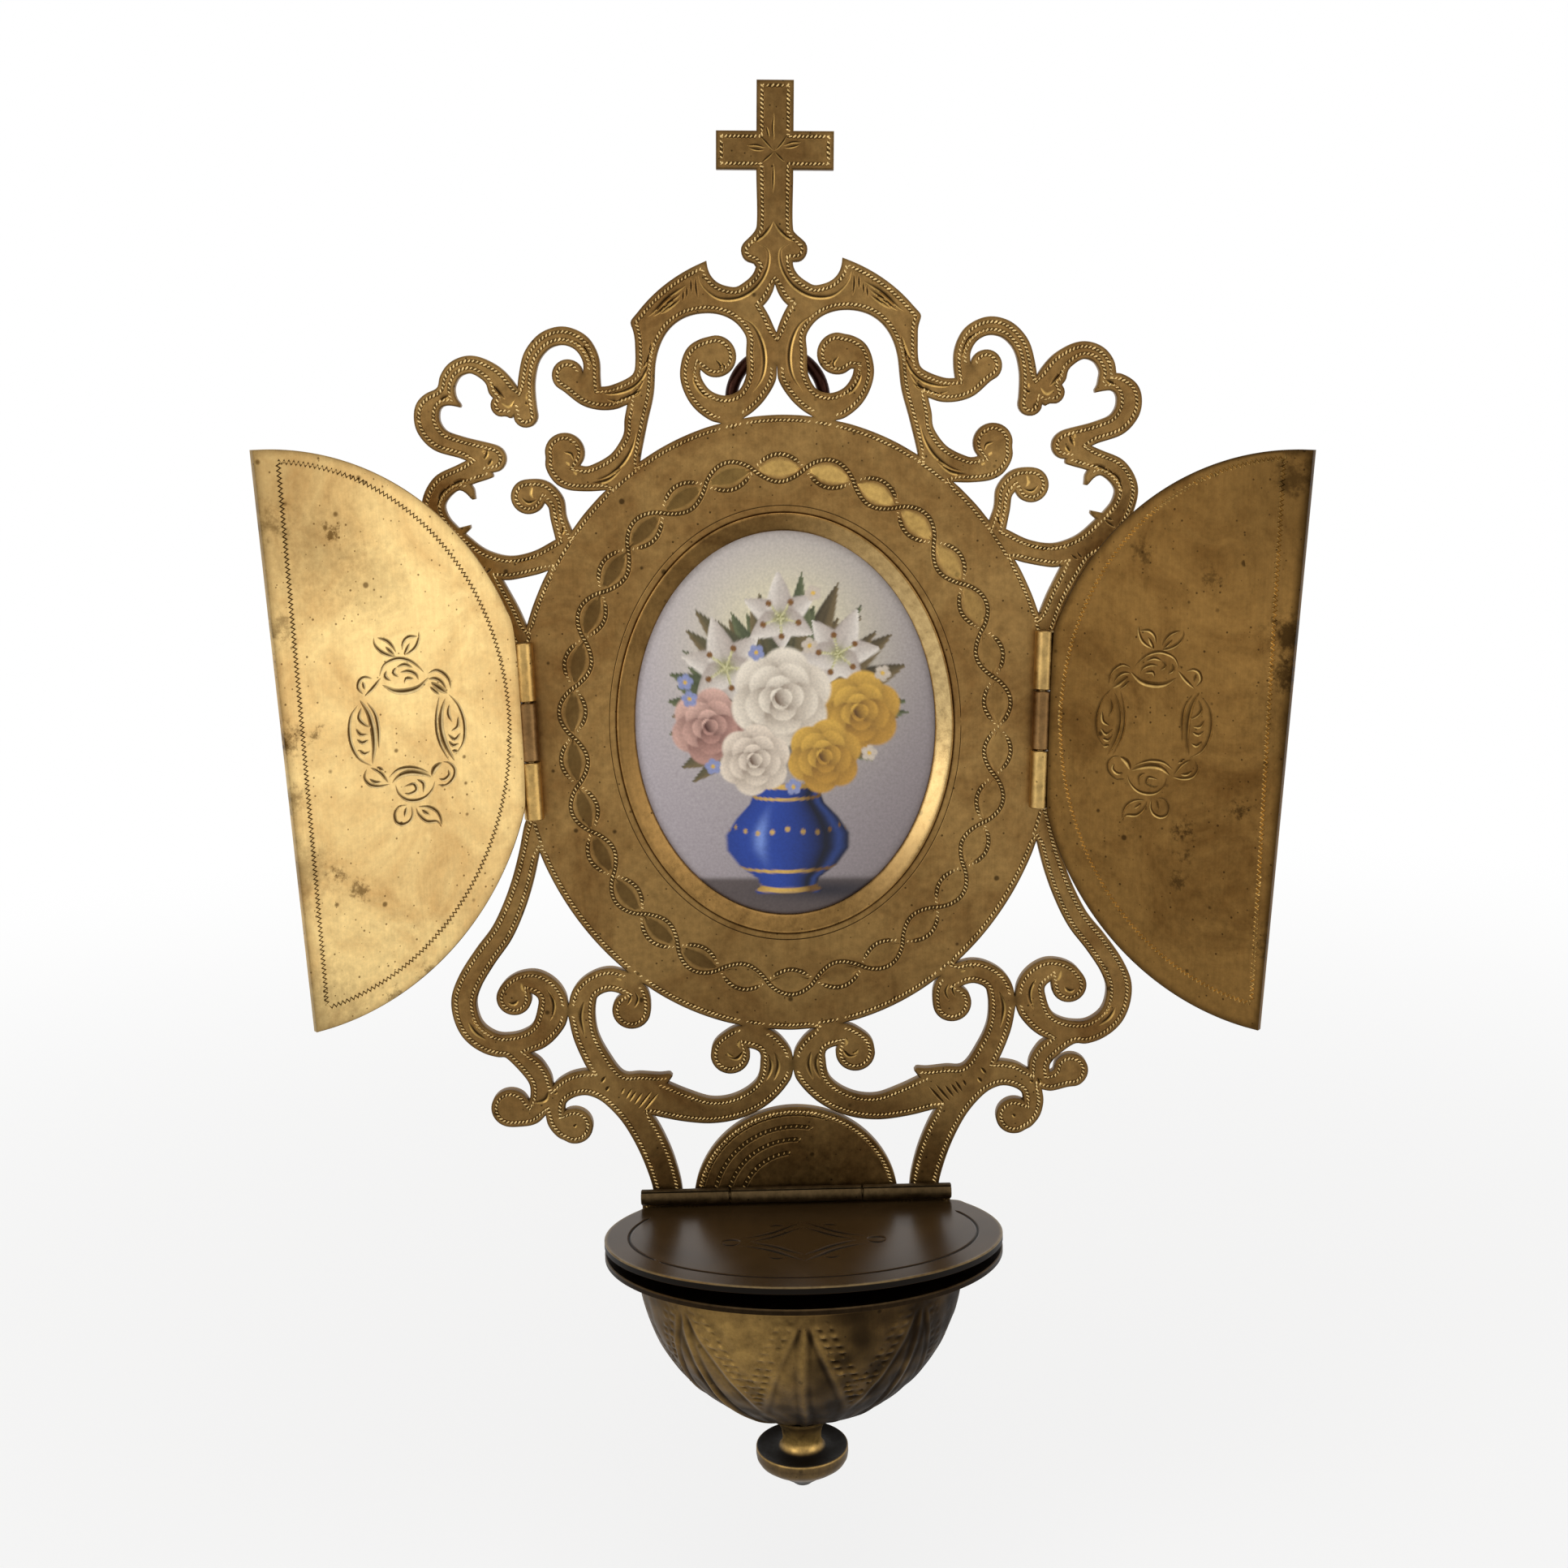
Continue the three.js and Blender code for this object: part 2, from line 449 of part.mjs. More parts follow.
// A door and its hinge. Everything is drawn about the hinge axis, in a frame that leans with it.
function addDoor(side) {
  const hand = side < 0 ? 'left' : 'right';
  const lean = THREE.MathUtils.degToRad(side < 0 ? LEFT_HINGE_LEAN : RIGHT_HINGE_LEAN);
  const lift = side < 0 ? LEFT_DOOR_LIFT : RIGHT_DOOR_LIFT;
  const hinge = new THREE.Group();
  hinge.position.set(side * hingeSide, hingeDepth, 0);
  hinge.rotation.y = side * lean;
  const swing = new THREE.Group();
  swing.rotation.z = side * THREE.MathUtils.degToRad(DOOR_OPEN);
  hinge.add(swing);
  stoup.add(hinge);

  const outline = new THREE.Shape();
  const quarter = Math.PI / 2;
  outline.absellipse((side * DOOR_GAP) / 2, lift, doorWidth - DOOR_GAP / 2, DOOR_HEIGHT / 2,
    -side * quarter, -side * quarter + Math.PI);
  const leaf = slab(outline, DOOR_SHEET, hingeDepth + DOOR_SHEET / 2, 24);
  leaf.translate(-side * hingeSide, -hingeDepth, 0).rotateY(-side * lean);
  const trim = new THREE.BoxGeometry(doorWidth, 4 * DOOR_SHEET, 2 * DOOR_HEIGHT);
  trim.translate(side * (doorWidth / 2 - KNUCKLE_RADIUS - SEAM), 0, 0);
  add(`${hand}_door`, geometryOf(cut(solidOf(leaf), [trim])), doorBrass, swing);

  const length = (HINGE_LENGTH - 2 * KNUCKLE_GAP) / 3;
  const step = length + KNUCKLE_GAP;
  const bore = PIN_RADIUS + PIN_PLAY;
  const knuckle = tube(KNUCKLE_RADIUS, bore, length);
  add(`${hand}_door_upper_knuckle`, knuckle.clone().translate(0, 0, step), doorBrass, swing);
  add(`${hand}_door_lower_knuckle`, knuckle.clone().translate(0, 0, -step), doorBrass, swing);
  const foot = new THREE.BoxGeometry(KNUCKLE_RADIUS, KNUCKLE_RADIUS, length);
  foot.translate(0, KNUCKLE_RADIUS / 2, 0);
  const fixed = cut(join([rod(KNUCKLE_RADIUS, length), foot]), [rod(bore, 2 * length)]);
  add(`${hand}_plate_knuckle`, geometryOf(fixed), plateBrass, hinge);
  add(`${hand}_hinge_pin`, rod(PIN_RADIUS, HINGE_LENGTH), pinBrass, hinge);
}

// An oval about the bowl's middle, cut straight across at the back.
function cutOval(halfWidth, halfDepth, back, shift) {
  const angle = Math.asin((back - ovalCentre) / halfDepth);
  const shape = new THREE.Shape();
  return shape.absellipse(shift, ovalCentre, halfWidth, halfDepth, Math.PI - angle, 2 * Math.PI + angle);
}

const lidOval = (back) => cutOval(LID_WIDTH / 2, LID_REACH - LID_CENTRE, back, LID_SHIFT);

// The lid and its two knuckles turn about the lid hinge and stand a little ajar.
function addLid() {
  const hinge = new THREE.Group();
  hinge.position.set(0, lidHingeDepth, lidHingeHeight);
  const swing = new THREE.Group();
  swing.rotation.x = -THREE.MathUtils.degToRad(LID_AJAR);
  hinge.add(swing);
  stoup.add(hinge);
  const lid = plate(lidOval(lidHingeDepth), LID_SHEET, -lidDrop - LID_SHEET, 28);
  lid.translate(0, -lidHingeDepth, 0);
  add('font_lid', lid, darkBronze, swing);

  const bore = PIN_RADIUS + PIN_PLAY;
  const length = (LID_HINGE_LENGTH - LID_MIDDLE_KNUCKLE) / 2 - KNUCKLE_GAP;
  const offset = LID_MIDDLE_KNUCKLE / 2 + KNUCKLE_GAP + length / 2;
  const barrel = tube(LID_KNUCKLE_RADIUS, bore, length).rotateY(Math.PI / 2);
  add('lid_left_knuckle', barrel.clone().translate(-offset, 0, 0), darkBronze, swing);
  add('lid_right_knuckle', barrel.clone().translate(offset, 0, 0), darkBronze, swing);
  const foot = new THREE.BoxGeometry(LID_MIDDLE_KNUCKLE, LID_KNUCKLE_RADIUS, LID_KNUCKLE_RADIUS);
  foot.translate(0, LID_KNUCKLE_RADIUS / 2, 0);
  const middle = rod(LID_KNUCKLE_RADIUS, LID_MIDDLE_KNUCKLE).rotateY(Math.PI / 2);
  const hole = rod(bore, 2 * LID_MIDDLE_KNUCKLE).rotateY(Math.PI / 2);
  add('lid_plate_knuckle', geometryOf(cut(join([middle, foot]), [hole])), plateBrass, hinge);
  add('lid_hinge_pin', rod(PIN_RADIUS, LID_HINGE_LENGTH).rotateY(Math.PI / 2), pinBrass, hinge);
}

// Half an ellipsoid hanging from the rim, with the given half sizes.
function dome(halfWidth, halfDepth, depth, top) {
  const rings = 8;
  const profile = [];
  for (let i = 0; i <= rings; i += 1) {
    const angle = (i / rings) * (Math.PI / 2);
    profile.push([halfWidth * Math.sin(angle), -depth * Math.cos(angle)]);
  }
  profile.push([halfWidth, top], [0, top]);
  return turned(profile, 36).scale(1, halfDepth / halfWidth, 1).translate(0, ovalCentre, bowlRim);
}

// Everything in front of a plane at y = back.
function frontOf(back) {
  const size = 4 * BOWL_WIDTH;
  return solidOf(new THREE.BoxGeometry(size, size, size).translate(0, back - size / 2, bowlRim));
}

function bowl() {
  const outer = solidOf(dome(BOWL_WIDTH / 2, bowlHalfDepth, BOWL_DEPTH, 0));
  const inner = solidOf(dome(BOWL_WIDTH / 2 - BOWL_WALL, bowlHalfDepth - BOWL_WALL, BOWL_DEPTH - BOWL_WALL,
    BOWL_WALL));
  const shell = outer.intersect(frontOf(bowlBack)).subtract(inner.intersect(frontOf(bowlBack - BOWL_WALL)));
  const studHole = rod(STUD_RADIUS + SEAM, 4 * BOWL_WALL).translate(0, ovalCentre, bowlBottom);
  const rivetHoles = [-1, 1].map((side) => rivetHole(side, 3 * BOWL_WALL, bowlBack + BOWL_WALL));
  return geometryOf(cut(shell, [studHole, ...rivetHoles]));
}

function flange() {
  const mouth = cutOval(BOWL_WIDTH / 2 - BOWL_WALL, bowlHalfDepth - BOWL_WALL, bowlBack - BOWL_WALL, 0);
  const ring = plate(lidOval(bowlBack), FLANGE_THICKNESS, bowlRim + SEAM, 28);
  const hole = plate(mouth, 3 * FLANGE_THICKNESS, bowlRim - FLANGE_THICKNESS, 28);
  return geometryOf(cut(solidOf(ring), [hole]));
}

function rivet(side) {
  const front = bowlBack - BOWL_WALL - SEAM;
  const back = plateBack + SEAM;
  const profile = [[0, front - RIVET_HEAD_THICKNESS], [RIVET_HEAD, front - RIVET_HEAD_THICKNESS / 2],
    [RIVET_HEAD, front], [RIVET_SHANK, front], [RIVET_SHANK, back], [RIVET_HEAD, back],
    [RIVET_HEAD, back + RIVET_HEAD_THICKNESS / 2], [0, back + RIVET_HEAD_THICKNESS]];
  const [x, z] = rivetPlace(side);
  const points = profile.map(([radius, y]) => new THREE.Vector2(radius, y));
  return new THREE.LatheGeometry(points, 14).translate(x, 0, z);
}

// The finial hangs under the bowl; its stud goes up through the bowl's bottom into the nut.
const nutLean = Math.sqrt(1 - (NUT_RADIUS / (bowlHalfDepth - BOWL_WALL)) ** 2);
const nutSeat = bowlRim - (BOWL_DEPTH - BOWL_WALL) * nutLean + SEAM;

function finial() {
  const top = bowlBottom - SEAM;
  const dish = top - FINIAL_NECK_LENGTH;
  const rimTop = dish + FINIAL_DISH / 2;
  const rimBottom = rimTop - FINIAL_RIM;
  const studTop = nutSeat + NUT_THICKNESS + STUD_END;
  const profile = [];
  const rings = 6;
  for (let i = 0; i <= rings; i += 1) {
    const angle = (i / rings) * (Math.PI / 2);
    profile.push([FINIAL_DISC * Math.sin(angle), rimBottom - FINIAL_CAP * (1 - Math.sin(angle) ** 2)]);
  }
  profile.push([FINIAL_DISC, rimTop], [(FINIAL_DISC + FINIAL_NECK) / 2, dish - FINIAL_DISH / 2]);
  profile.push([FINIAL_NECK, dish], [FINIAL_NECK, top - 2 * FINIAL_COLLAR_HEIGHT]);
  profile.push([(FINIAL_COLLAR + FINIAL_NECK) / 2, top - FINIAL_COLLAR_HEIGHT], [FINIAL_COLLAR, top]);
  profile.push([STUD_RADIUS, top], [STUD_RADIUS, studTop], [0, studTop]);
  return turned(profile, 24).translate(0, ovalCentre, 0);
}

function nut() {
  const hexagon = new THREE.CylinderGeometry(NUT_RADIUS, NUT_RADIUS, NUT_THICKNESS, 6).rotateX(Math.PI / 2);
  const bored = cut(solidOf(hexagon), [rod(STUD_RADIUS + SEAM, 2 * NUT_THICKNESS)]);
  return geometryOf(bored).translate(0, ovalCentre, nutSeat + NUT_THICKNESS / 2);
}

// The hanging ring stands up behind the crest; the staple straps it to the back of the disc.
const ringDepth = plateBack + SEAM + RING_WIRE / 2 + STAPLE_PLAY;
const ringPivot = discTop - RING_PIVOT_DROP;

function ring() {
  const torus = new THREE.TorusGeometry(RING_RADIUS, RING_WIRE / 2, 8, 28).rotateX(Math.PI / 2);
  return torus.translate(0, ringDepth, ringPivot + RING_RADIUS);
}

function staple() {
  const inner = RING_WIRE / 2 + STAPLE_PLAY;
  const outer = inner + STAPLE_STRAP;
  const foot = outer + STAPLE_FOOT;
  const shape = new THREE.Shape();
  shape.moveTo(-foot, 0);
  shape.lineTo(-inner, 0);
  shape.lineTo(-inner, inner);
  shape.absarc(0, inner, inner, Math.PI, 0, true);
  shape.lineTo(inner, 0);
  shape.lineTo(foot, 0);
  shape.lineTo(foot, STAPLE_STRAP);
  shape.lineTo(outer, STAPLE_STRAP);
  shape.lineTo(outer, inner);
  shape.absarc(0, inner, outer, 0, Math.PI, false);
  shape.lineTo(-outer, STAPLE_STRAP);
  shape.lineTo(-foot, STAPLE_STRAP);
  const strap = extruded(shape, STAPLE_WIDTH, 10);
  strap.translate(0, 0, -STAPLE_WIDTH / 2).rotateY(-Math.PI / 2);
  return strap.translate(0, plateBack + SEAM, ringPivot);
}

add('backplate', backPlate(), plateBrass);
add('bezel_ring', bezelRing(), plateBrass);
add('porcelain_plaque', plaque(), porcelain);
add('plaque_packing', packing(), card);
add('backing_cap', backingCap(), plateBrass);
addDoor(-1);
addDoor(1);
addLid();
add('bowl_flange', flange(), darkBronze);
add('font_bowl', bowl(), darkBronze);
add('bowl_rivet_left', rivet(-1), plateBrass);
add('bowl_rivet_right', rivet(1), plateBrass);
add('finial', finial(), darkBronze);
add('finial_nut', nut(), pinBrass);
add('hanging_ring', ring(), darkIron);
add('ring_staple', staple(), plateBrass);

export default stoup;
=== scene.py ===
# %% [markdown]
# A brass holy water stoup, dressed around its CAD frame. The frame fixes where every piece is and
# how it moves. This lesson gives each piece the surface that the real one has: sheet brass with
# roulette rows and engraving, a painted porcelain plaque, and a dark bronze font.

# %% Load the frame
import math
from collections import namedtuple

import bmesh
import bpy
import numpy as np
from mathutils import Matrix, Vector, kdtree
from mathutils.geometry import delaunay_2d_cdt


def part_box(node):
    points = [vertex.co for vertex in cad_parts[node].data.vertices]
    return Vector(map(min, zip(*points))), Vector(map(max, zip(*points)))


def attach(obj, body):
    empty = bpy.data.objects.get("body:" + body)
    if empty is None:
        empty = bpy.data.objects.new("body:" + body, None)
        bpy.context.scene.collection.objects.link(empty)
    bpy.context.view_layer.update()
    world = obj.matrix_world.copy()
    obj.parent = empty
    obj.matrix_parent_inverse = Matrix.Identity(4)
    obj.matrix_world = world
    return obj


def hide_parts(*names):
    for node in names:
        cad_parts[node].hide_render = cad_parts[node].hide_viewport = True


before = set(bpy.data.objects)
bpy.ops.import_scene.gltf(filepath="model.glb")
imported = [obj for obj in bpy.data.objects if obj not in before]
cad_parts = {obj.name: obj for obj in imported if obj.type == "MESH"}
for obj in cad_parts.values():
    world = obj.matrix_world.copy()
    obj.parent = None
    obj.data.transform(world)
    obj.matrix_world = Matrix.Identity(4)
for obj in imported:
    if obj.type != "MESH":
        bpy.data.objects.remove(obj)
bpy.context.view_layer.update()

MM = 0.001  # the frame is in metres, and this script draws in millimetres

# %% [markdown]
# Colours are written as sRGB hex codes, as a paint program shows them, and shaders take linear
# light, so one function turns the one into the other. One more function adds a node with its
# settings and links, which keeps every material below short enough to read.

# %% Colours and nodes
def linear(code):
    """An sRGB hex colour as the linear red, green, blue and alpha that a shader takes."""
    parts = [int(code[i:i + 2], 16) / 255 for i in (1, 3, 5)]
    return [p / 12.92 if p <= 0.04045 else ((p + 0.055) / 1.055) ** 2.4 for p in parts] + [1.0]


def add_node(tree, kind, inputs=None, **settings):
    """Adds a node. An input is a value to set or another node's output to link."""
    node = tree.nodes.new(kind)
    for name, value in settings.items():
        setattr(node, name, value)
    for name, value in (inputs or {}).items():
        if isinstance(value, bpy.types.NodeSocket):
            tree.links.new(value, node.inputs[name])
        else:
            node.inputs[name].default_value = value
    return node


def new_material(name):
    """A node material, its tree and its Principled shader."""
    material = bpy.data.materials.new(name)
    material.use_nodes = True
    return material, material.node_tree, material.node_tree.nodes["Principled BSDF"]


def per_metre(size):
    """The texture scale that gives features of a size in millimetres."""
    return 1 / (size * MM)


print("mid brass in linear light:", [round(c, 3) for c in linear("#86683a")])

# %% [markdown]
# Damp pits old brass and smoke stains it. A pit is a small dark spot, so each cell of a Voronoi pattern
# may hold one, by chance. A stain has a place, so it is a distance to a point, with noise to make its edge
# ragged, and painted shade around a place is made the same way. Both functions give masks, which say
# where the metal is hidden and how much.

# %% Spots and stains
SPECKS = ((3.4, 0.4, 0.17), (1.1, 0.5, 0.2))  # spots and pits: spacing in mm, share that shows, reach
SPECK_DARK = 0.75
RAGGED_MM = 4.5  # how far the noise pulls the edge of a stain in and out


def spots(tree, place, specked):
    """Masks of the dark spots and of the finer pits between them."""
    masks = []
    for spacing, share, most in SPECKS:
        cells = add_node(tree, "ShaderNodeTexVoronoi", {"Vector": place, "Scale": per_metre(spacing)})
        chance = add_node(tree, "ShaderNodeSeparateColor", {"Color": cells.outputs["Color"]}).outputs["Red"]
        reach = add_node(tree, "ShaderNodeMapRange", {
            "Value": chance, "From Min": 1 - share * specked, "To Max": most}).outputs["Result"]
        within = add_node(tree, "ShaderNodeMath", {
            0: reach, 1: cells.outputs["Distance"]}, operation="SUBTRACT").outputs[0]
        masks.append(add_node(tree, "ShaderNodeMapRange", {
            "Value": within, "From Min": -0.03, "From Max": 0.05, "To Max": SPECK_DARK}).outputs["Result"])
    return masks


def stains(tree, place, noise, stains_and_shade):
    """Masks of stains and of painted shade, each with its centre, where it starts to fade and where it ends,
    and its strength.
    """
    masks = []
    for centre, near, far, most in stains_and_shade:
        gap = add_node(tree, "ShaderNodeVectorMath", {
            0: place, 1: [c * MM for c in centre]}, operation="DISTANCE").outputs["Value"]
        ragged = add_node(tree, "ShaderNodeMath", {
            0: noise, 1: 2 * RAGGED_MM * MM, 2: gap}, operation="MULTIPLY_ADD").outputs[0]
        masks.append(add_node(tree, "ShaderNodeMapRange", {
            "Value": ragged, "From Min": (near + RAGGED_MM) * MM, "From Max": (far + RAGGED_MM) * MM,
            "To Min": most, "To Max": 0.0}, interpolation_type="SMOOTHSTEP").outputs["Result"])
    return masks


print("spots stand about", SPECKS[0][0], "mm apart and pits", SPECKS[1][0], "mm")

# %% [markdown]
# Old rolled brass is a warm metal under a thin brown skin. The skin clouds over some centimetres and
# mottles over a millimetre or two. Dirt stays in every cut, and what hands rub stays bright. The sheets
# below carry both as two vertex attributes, one for dirt and one for polish, and in some places these also
# carry painted shade and painted highlights, so the same finish serves plain and engraved pieces. A metal
# keeps its default IOR, and its base colour is the colour that it reflects.

# %% Aged brass
CLOUD_MM = 17.0
MOTTLE_MM = 1.5
RUB_MM = (0.35, 0.35, 9.0)  # fine wiping marks, longest upwards
SKIN_MM = 0.012  # relief of the mottled skin


def aged_brass(name, metal, skin, grime_and_shade, gleam, rough, clouded=0.5, specked=0.5, relief=1.0,
               mottled=1.0, stains_and_shade=(), metallic=1.0):
    """Rolled brass, wiped by hand: soft clouds of brown skin, spots and pits, and a satin sheen, with painted
    shade and painted highlights where its attributes and patches give them.
    """
    material, tree, shader = new_material(name)
    shader.inputs["Metallic"].default_value = metallic
    place = add_node(tree, "ShaderNodeTexCoord").outputs["Object"]
    cloud = add_node(tree, "ShaderNodeTexNoise", {
        "Vector": place, "Scale": per_metre(CLOUD_MM), "Detail": 6.0, "Roughness": 0.66,
        "Distortion": 0.8}).outputs["Fac"]
    mottle = add_node(tree, "ShaderNodeTexNoise", {
        "Vector": place, "Scale": per_metre(MOTTLE_MM), "Detail": 5.0, "Roughness": 0.7}).outputs["Fac"]
    wiped = add_node(tree, "ShaderNodeMapping", {
        "Vector": place, "Scale": [per_metre(size) for size in RUB_MM]}).outputs["Vector"]
    rub = add_node(tree, "ShaderNodeTexNoise", {
        "Vector": wiped, "Scale": 1.0, "Detail": 2.0}).outputs["Fac"]
    ramp = {}
    for key, source, start, end, low, high in (
            ("clouds", cloud, 0.6 - 0.28 * clouded, 0.7, 0.0, 1.0),
            ("patchy", mottle, 0.25, 0.75, 1 - 0.4 * mottled, 1 + 0.36 * mottled),
            ("lined", rub, 0.2, 0.8, 1 - 0.1 * mottled, 1 + 0.1 * mottled),
            ("grained", mottle, 0.3, 0.65, 0.5, 1.1),
            ("satin", mottle, 0.25, 0.75, rough - 0.08 * mottled, rough + 0.09 * mottled)):
        ramp[key] = add_node(tree, "ShaderNodeMapRange", {
            "Value": source, "From Min": start, "From Max": end, "To Min": low,
            "To Max": high}).outputs["Result"]

    base = add_node(tree, "ShaderNodeMix", {
        "Factor": ramp["clouds"], "A": linear(metal), "B": linear(skin)}, data_type="RGBA").outputs["Result"]
    tone = add_node(tree, "ShaderNodeMath", {
        0: ramp["patchy"], 1: ramp["lined"]}, operation="MULTIPLY").outputs[0]
    coloured = add_node(tree, "ShaderNodeVectorMath", {
        0: base, "Scale": tone}, operation="SCALE").outputs["Vector"]
    # the two attributes read here hold painted highlights and painted shade as well as polish and dirt
    polish = add_node(tree, "ShaderNodeAttribute", attribute_name="polish").outputs["Fac"]
    shine = add_node(tree, "ShaderNodeMath", {
        0: polish, 1: ramp["grained"]}, operation="MULTIPLY", use_clamp=True).outputs[0]
    tarnish = add_node(tree, "ShaderNodeAttribute", attribute_name="tarnish").outputs["Fac"]
    dirt_and_shade = add_node(tree, "ShaderNodeMapRange", {
        "Value": tarnish, "From Min": 0.05, "From Max": 0.85, "To Max": 0.95},
        interpolation_type="SMOOTHSTEP").outputs["Result"]
    layers = [(mask, grime_and_shade) for mask in spots(tree, place, specked)]  # from the metal up
    layers += [(shine, gleam), (dirt_and_shade, grime_and_shade)]
    layers += [(mask, grime_and_shade) for mask in stains(tree, place, mottle, stains_and_shade)]
    for mask, colour in layers:
        coloured = add_node(tree, "ShaderNodeMix", {
            "Factor": mask, "A": coloured, "B": linear(colour)}, data_type="RGBA").outputs["Result"]
    tree.links.new(coloured, shader.inputs["Base Color"])

    dulled = add_node(tree, "ShaderNodeMath", {
        0: dirt_and_shade, 1: 0.25, 2: ramp["satin"]}, operation="MULTIPLY_ADD").outputs[0]
    buffed = add_node(tree, "ShaderNodeMath", {
        0: shine, 1: -0.12, 2: dulled}, operation="MULTIPLY_ADD", use_clamp=True).outputs[0]
    tree.links.new(buffed, shader.inputs["Roughness"])
    height = add_node(tree, "ShaderNodeMath", {
        0: rub, 1: 0.5, 2: mottle}, operation="MULTIPLY_ADD").outputs[0]
    bump = add_node(tree, "ShaderNodeBump", {
        "Height": height, "Strength": 0.6 * relief, "Distance": SKIN_MM * MM}).outputs["Normal"]
    tree.links.new(bump, shader.inputs["Normal"])
    return material


PLATE_SHADE_AND_DARK_CROSS = (  # painted shade just above the lid of the font and darker towards the bottom of the plate, and the cross darker too
    ((0, -6.3, -96), 3, 22, 0.75), ((0, -6.3, -96), 24, 104, 0.36), ((0, -6.3, 104), 2, 44, 0.34))
# rolled sheet with a satin sheen, clouded brown, with spots and pits, and painted shade low on the plate
PLATE_BRASS = aged_brass("rolled_plate_brass", "#937343", "#70502a", "#221609", "#dcb568", rough=0.40,
                         clouded=0.75, specked=0.85, relief=0.9, mottled=0.7, stains_and_shade=PLATE_SHADE_AND_DARK_CROSS)
print(PLATE_BRASS.name, "has", len(PLATE_BRASS.node_tree.nodes), "nodes")

# %% [markdown]
# A saw and a graver both follow lines, so lines come first. Only the points that a curve should pass are
# given, and the smooth line through them is worked out here. The small helpers beside it measure
# a line, turn its ways to the side and find the nearest of many points.

# %% Lines
CUT_STEP = 0.4


def unit(ways):
    """Each way at length one."""
    return ways / np.maximum(np.linalg.norm(ways, axis=1), 1e-9)[:, None]


def leftward(ways):
    """Each way turned a quarter to the left."""
    return np.stack([-ways[:, 1], ways[:, 0]], axis=1)


def reach_along(line):
    """How far along a line each of its points is."""
    return np.concatenate([[0], np.cumsum(np.linalg.norm(np.diff(line, axis=0), axis=1))])


def point_tree(points):
    """A tree that finds the nearest of many points on a flat sheet."""
    tree = kdtree.KDTree(len(points))
    for i, (u, v) in enumerate(points):
        tree.insert((u, v, 0), i)
    tree.balance()
    return tree


def hand_line(points, step=CUT_STEP):
    """A smooth line through points, its knots spread by the root of each span so that it never loops."""
    p = np.array(points, float)
    if len(p) == 2:
        p = np.array([p[0], p.mean(axis=0), p[1]])
    p = np.vstack([2 * p[0] - p[1], p, 2 * p[-1] - p[-2]])
    knot = np.concatenate([[0], np.cumsum(np.linalg.norm(np.diff(p, axis=0), axis=1) ** 0.5 + 1e-6)])
    parts = []
    for i in range(len(p) - 3):
        a, b, c, d = p[i:i + 4]
        ka, kb, kc, kd = knot[i:i + 4]
        t = np.linspace(kb, kc, max(2, round(np.linalg.norm(c - b) / step)), endpoint=False)[:, None]
        ab = a + (t - ka) / (kb - ka) * (b - a)
        bc = b + (t - kb) / (kc - kb) * (c - b)
        cd = c + (t - kc) / (kd - kc) * (d - c)
        abc = ab + (t - ka) / (kc - ka) * (bc - ab)
        bcd = bc + (t - kb) / (kd - kb) * (cd - bc)
        parts.append(abc + (t - kb) / (kc - kb) * (bcd - abc))
    return np.vstack(parts + [p[-2:-1]])


print("a line through three points has", len(hand_line([(0, 0), (3, 1), (5, 4)])), "points")

# %% [markdown]
# The plate, the doors and the lid are sheets that were sawn out, filed at the edge and then engraved.
# Each CAD solid already has the right outline, made of short straight cuts. A saw leaves a smoother line,
# so a loop of the outline is rounded here, with a smoothing that doesn't shrink it, and keeps its true
# corners. Many small steps in and out do this, which a subdivision of the mesh would do less evenly.

# %% The sawn curve
OUTLINE_STEP = 0.25
CROWDED = 0.4  # CAD points nearer than this to the one before are left out
CORNER_TURN = math.radians(58)
TURN_REACH = 0.9
SMOOTHING = (0.5, -0.52) * 40  # in, then a little further out, so that the loop keeps its size


def sawn_curve(loop):
    """A smooth closed curve through the points of a loop that keeps its true corners."""
    crowded = np.linalg.norm(loop - np.roll(loop, 1, axis=0), axis=1) < CROWDED
    loop = loop[~crowded] if (~crowded).sum() > 4 else loop
    closed = np.vstack([loop, loop[:1]])
    reach = reach_along(closed)
    length = reach[-1]
    thrice = np.concatenate([reach[:-1] - length, reach, reach[1:] + length])
    laps = np.vstack([loop, closed, closed[1:]])
    before, here, after = (
        np.stack([np.interp(reach[:-1] + shift, thrice, laps[:, k]) for k in (0, 1)], axis=1)
        for shift in (-TURN_REACH, 0, TURN_REACH))
    ahead, behind = after - here, here - before
    turn = np.abs(np.arctan2((ahead * leftward(behind)).sum(axis=1), (ahead * behind).sum(axis=1)))
    near = np.abs(reach[:-1, None] - reach[None, :-1])
    near = np.minimum(near, length - near) < TURN_REACH
    corner = (turn > CORNER_TURN) & (turn >= np.where(near, turn[None, :], 0).max(axis=1) - 1e-9)
    starts = np.nonzero(corner)[0] if corner.any() else np.array([0])
    parts, held = [], []
    for first, last in zip(starts, np.append(starts[1:], starts[0] + len(loop))):
        run = hand_line(loop[np.arange(first, last + 1) % len(loop)], OUTLINE_STEP)[:-1]
        parts.append(run)
        held.append((np.arange(len(run)) == 0) & corner.any())
    curve, held = np.vstack(parts), np.concatenate(held)
    for weight in SMOOTHING:
        middle = (np.roll(curve, 1, axis=0) + np.roll(curve, -1, axis=0)) / 2
        curve = np.where(held[:, None], curve, curve + weight * (middle - curve))
    keep = held | (np.arange(len(curve)) % 2 == 0)
    keep &= held | ~(np.roll(held, 1) | np.roll(held, -1))
    return curve[keep]


print("a square of 4 mm is sawn with", len(sawn_curve(np.array([(0, 0), (4, 0), (4, 4), (0, 4)]))), "points")

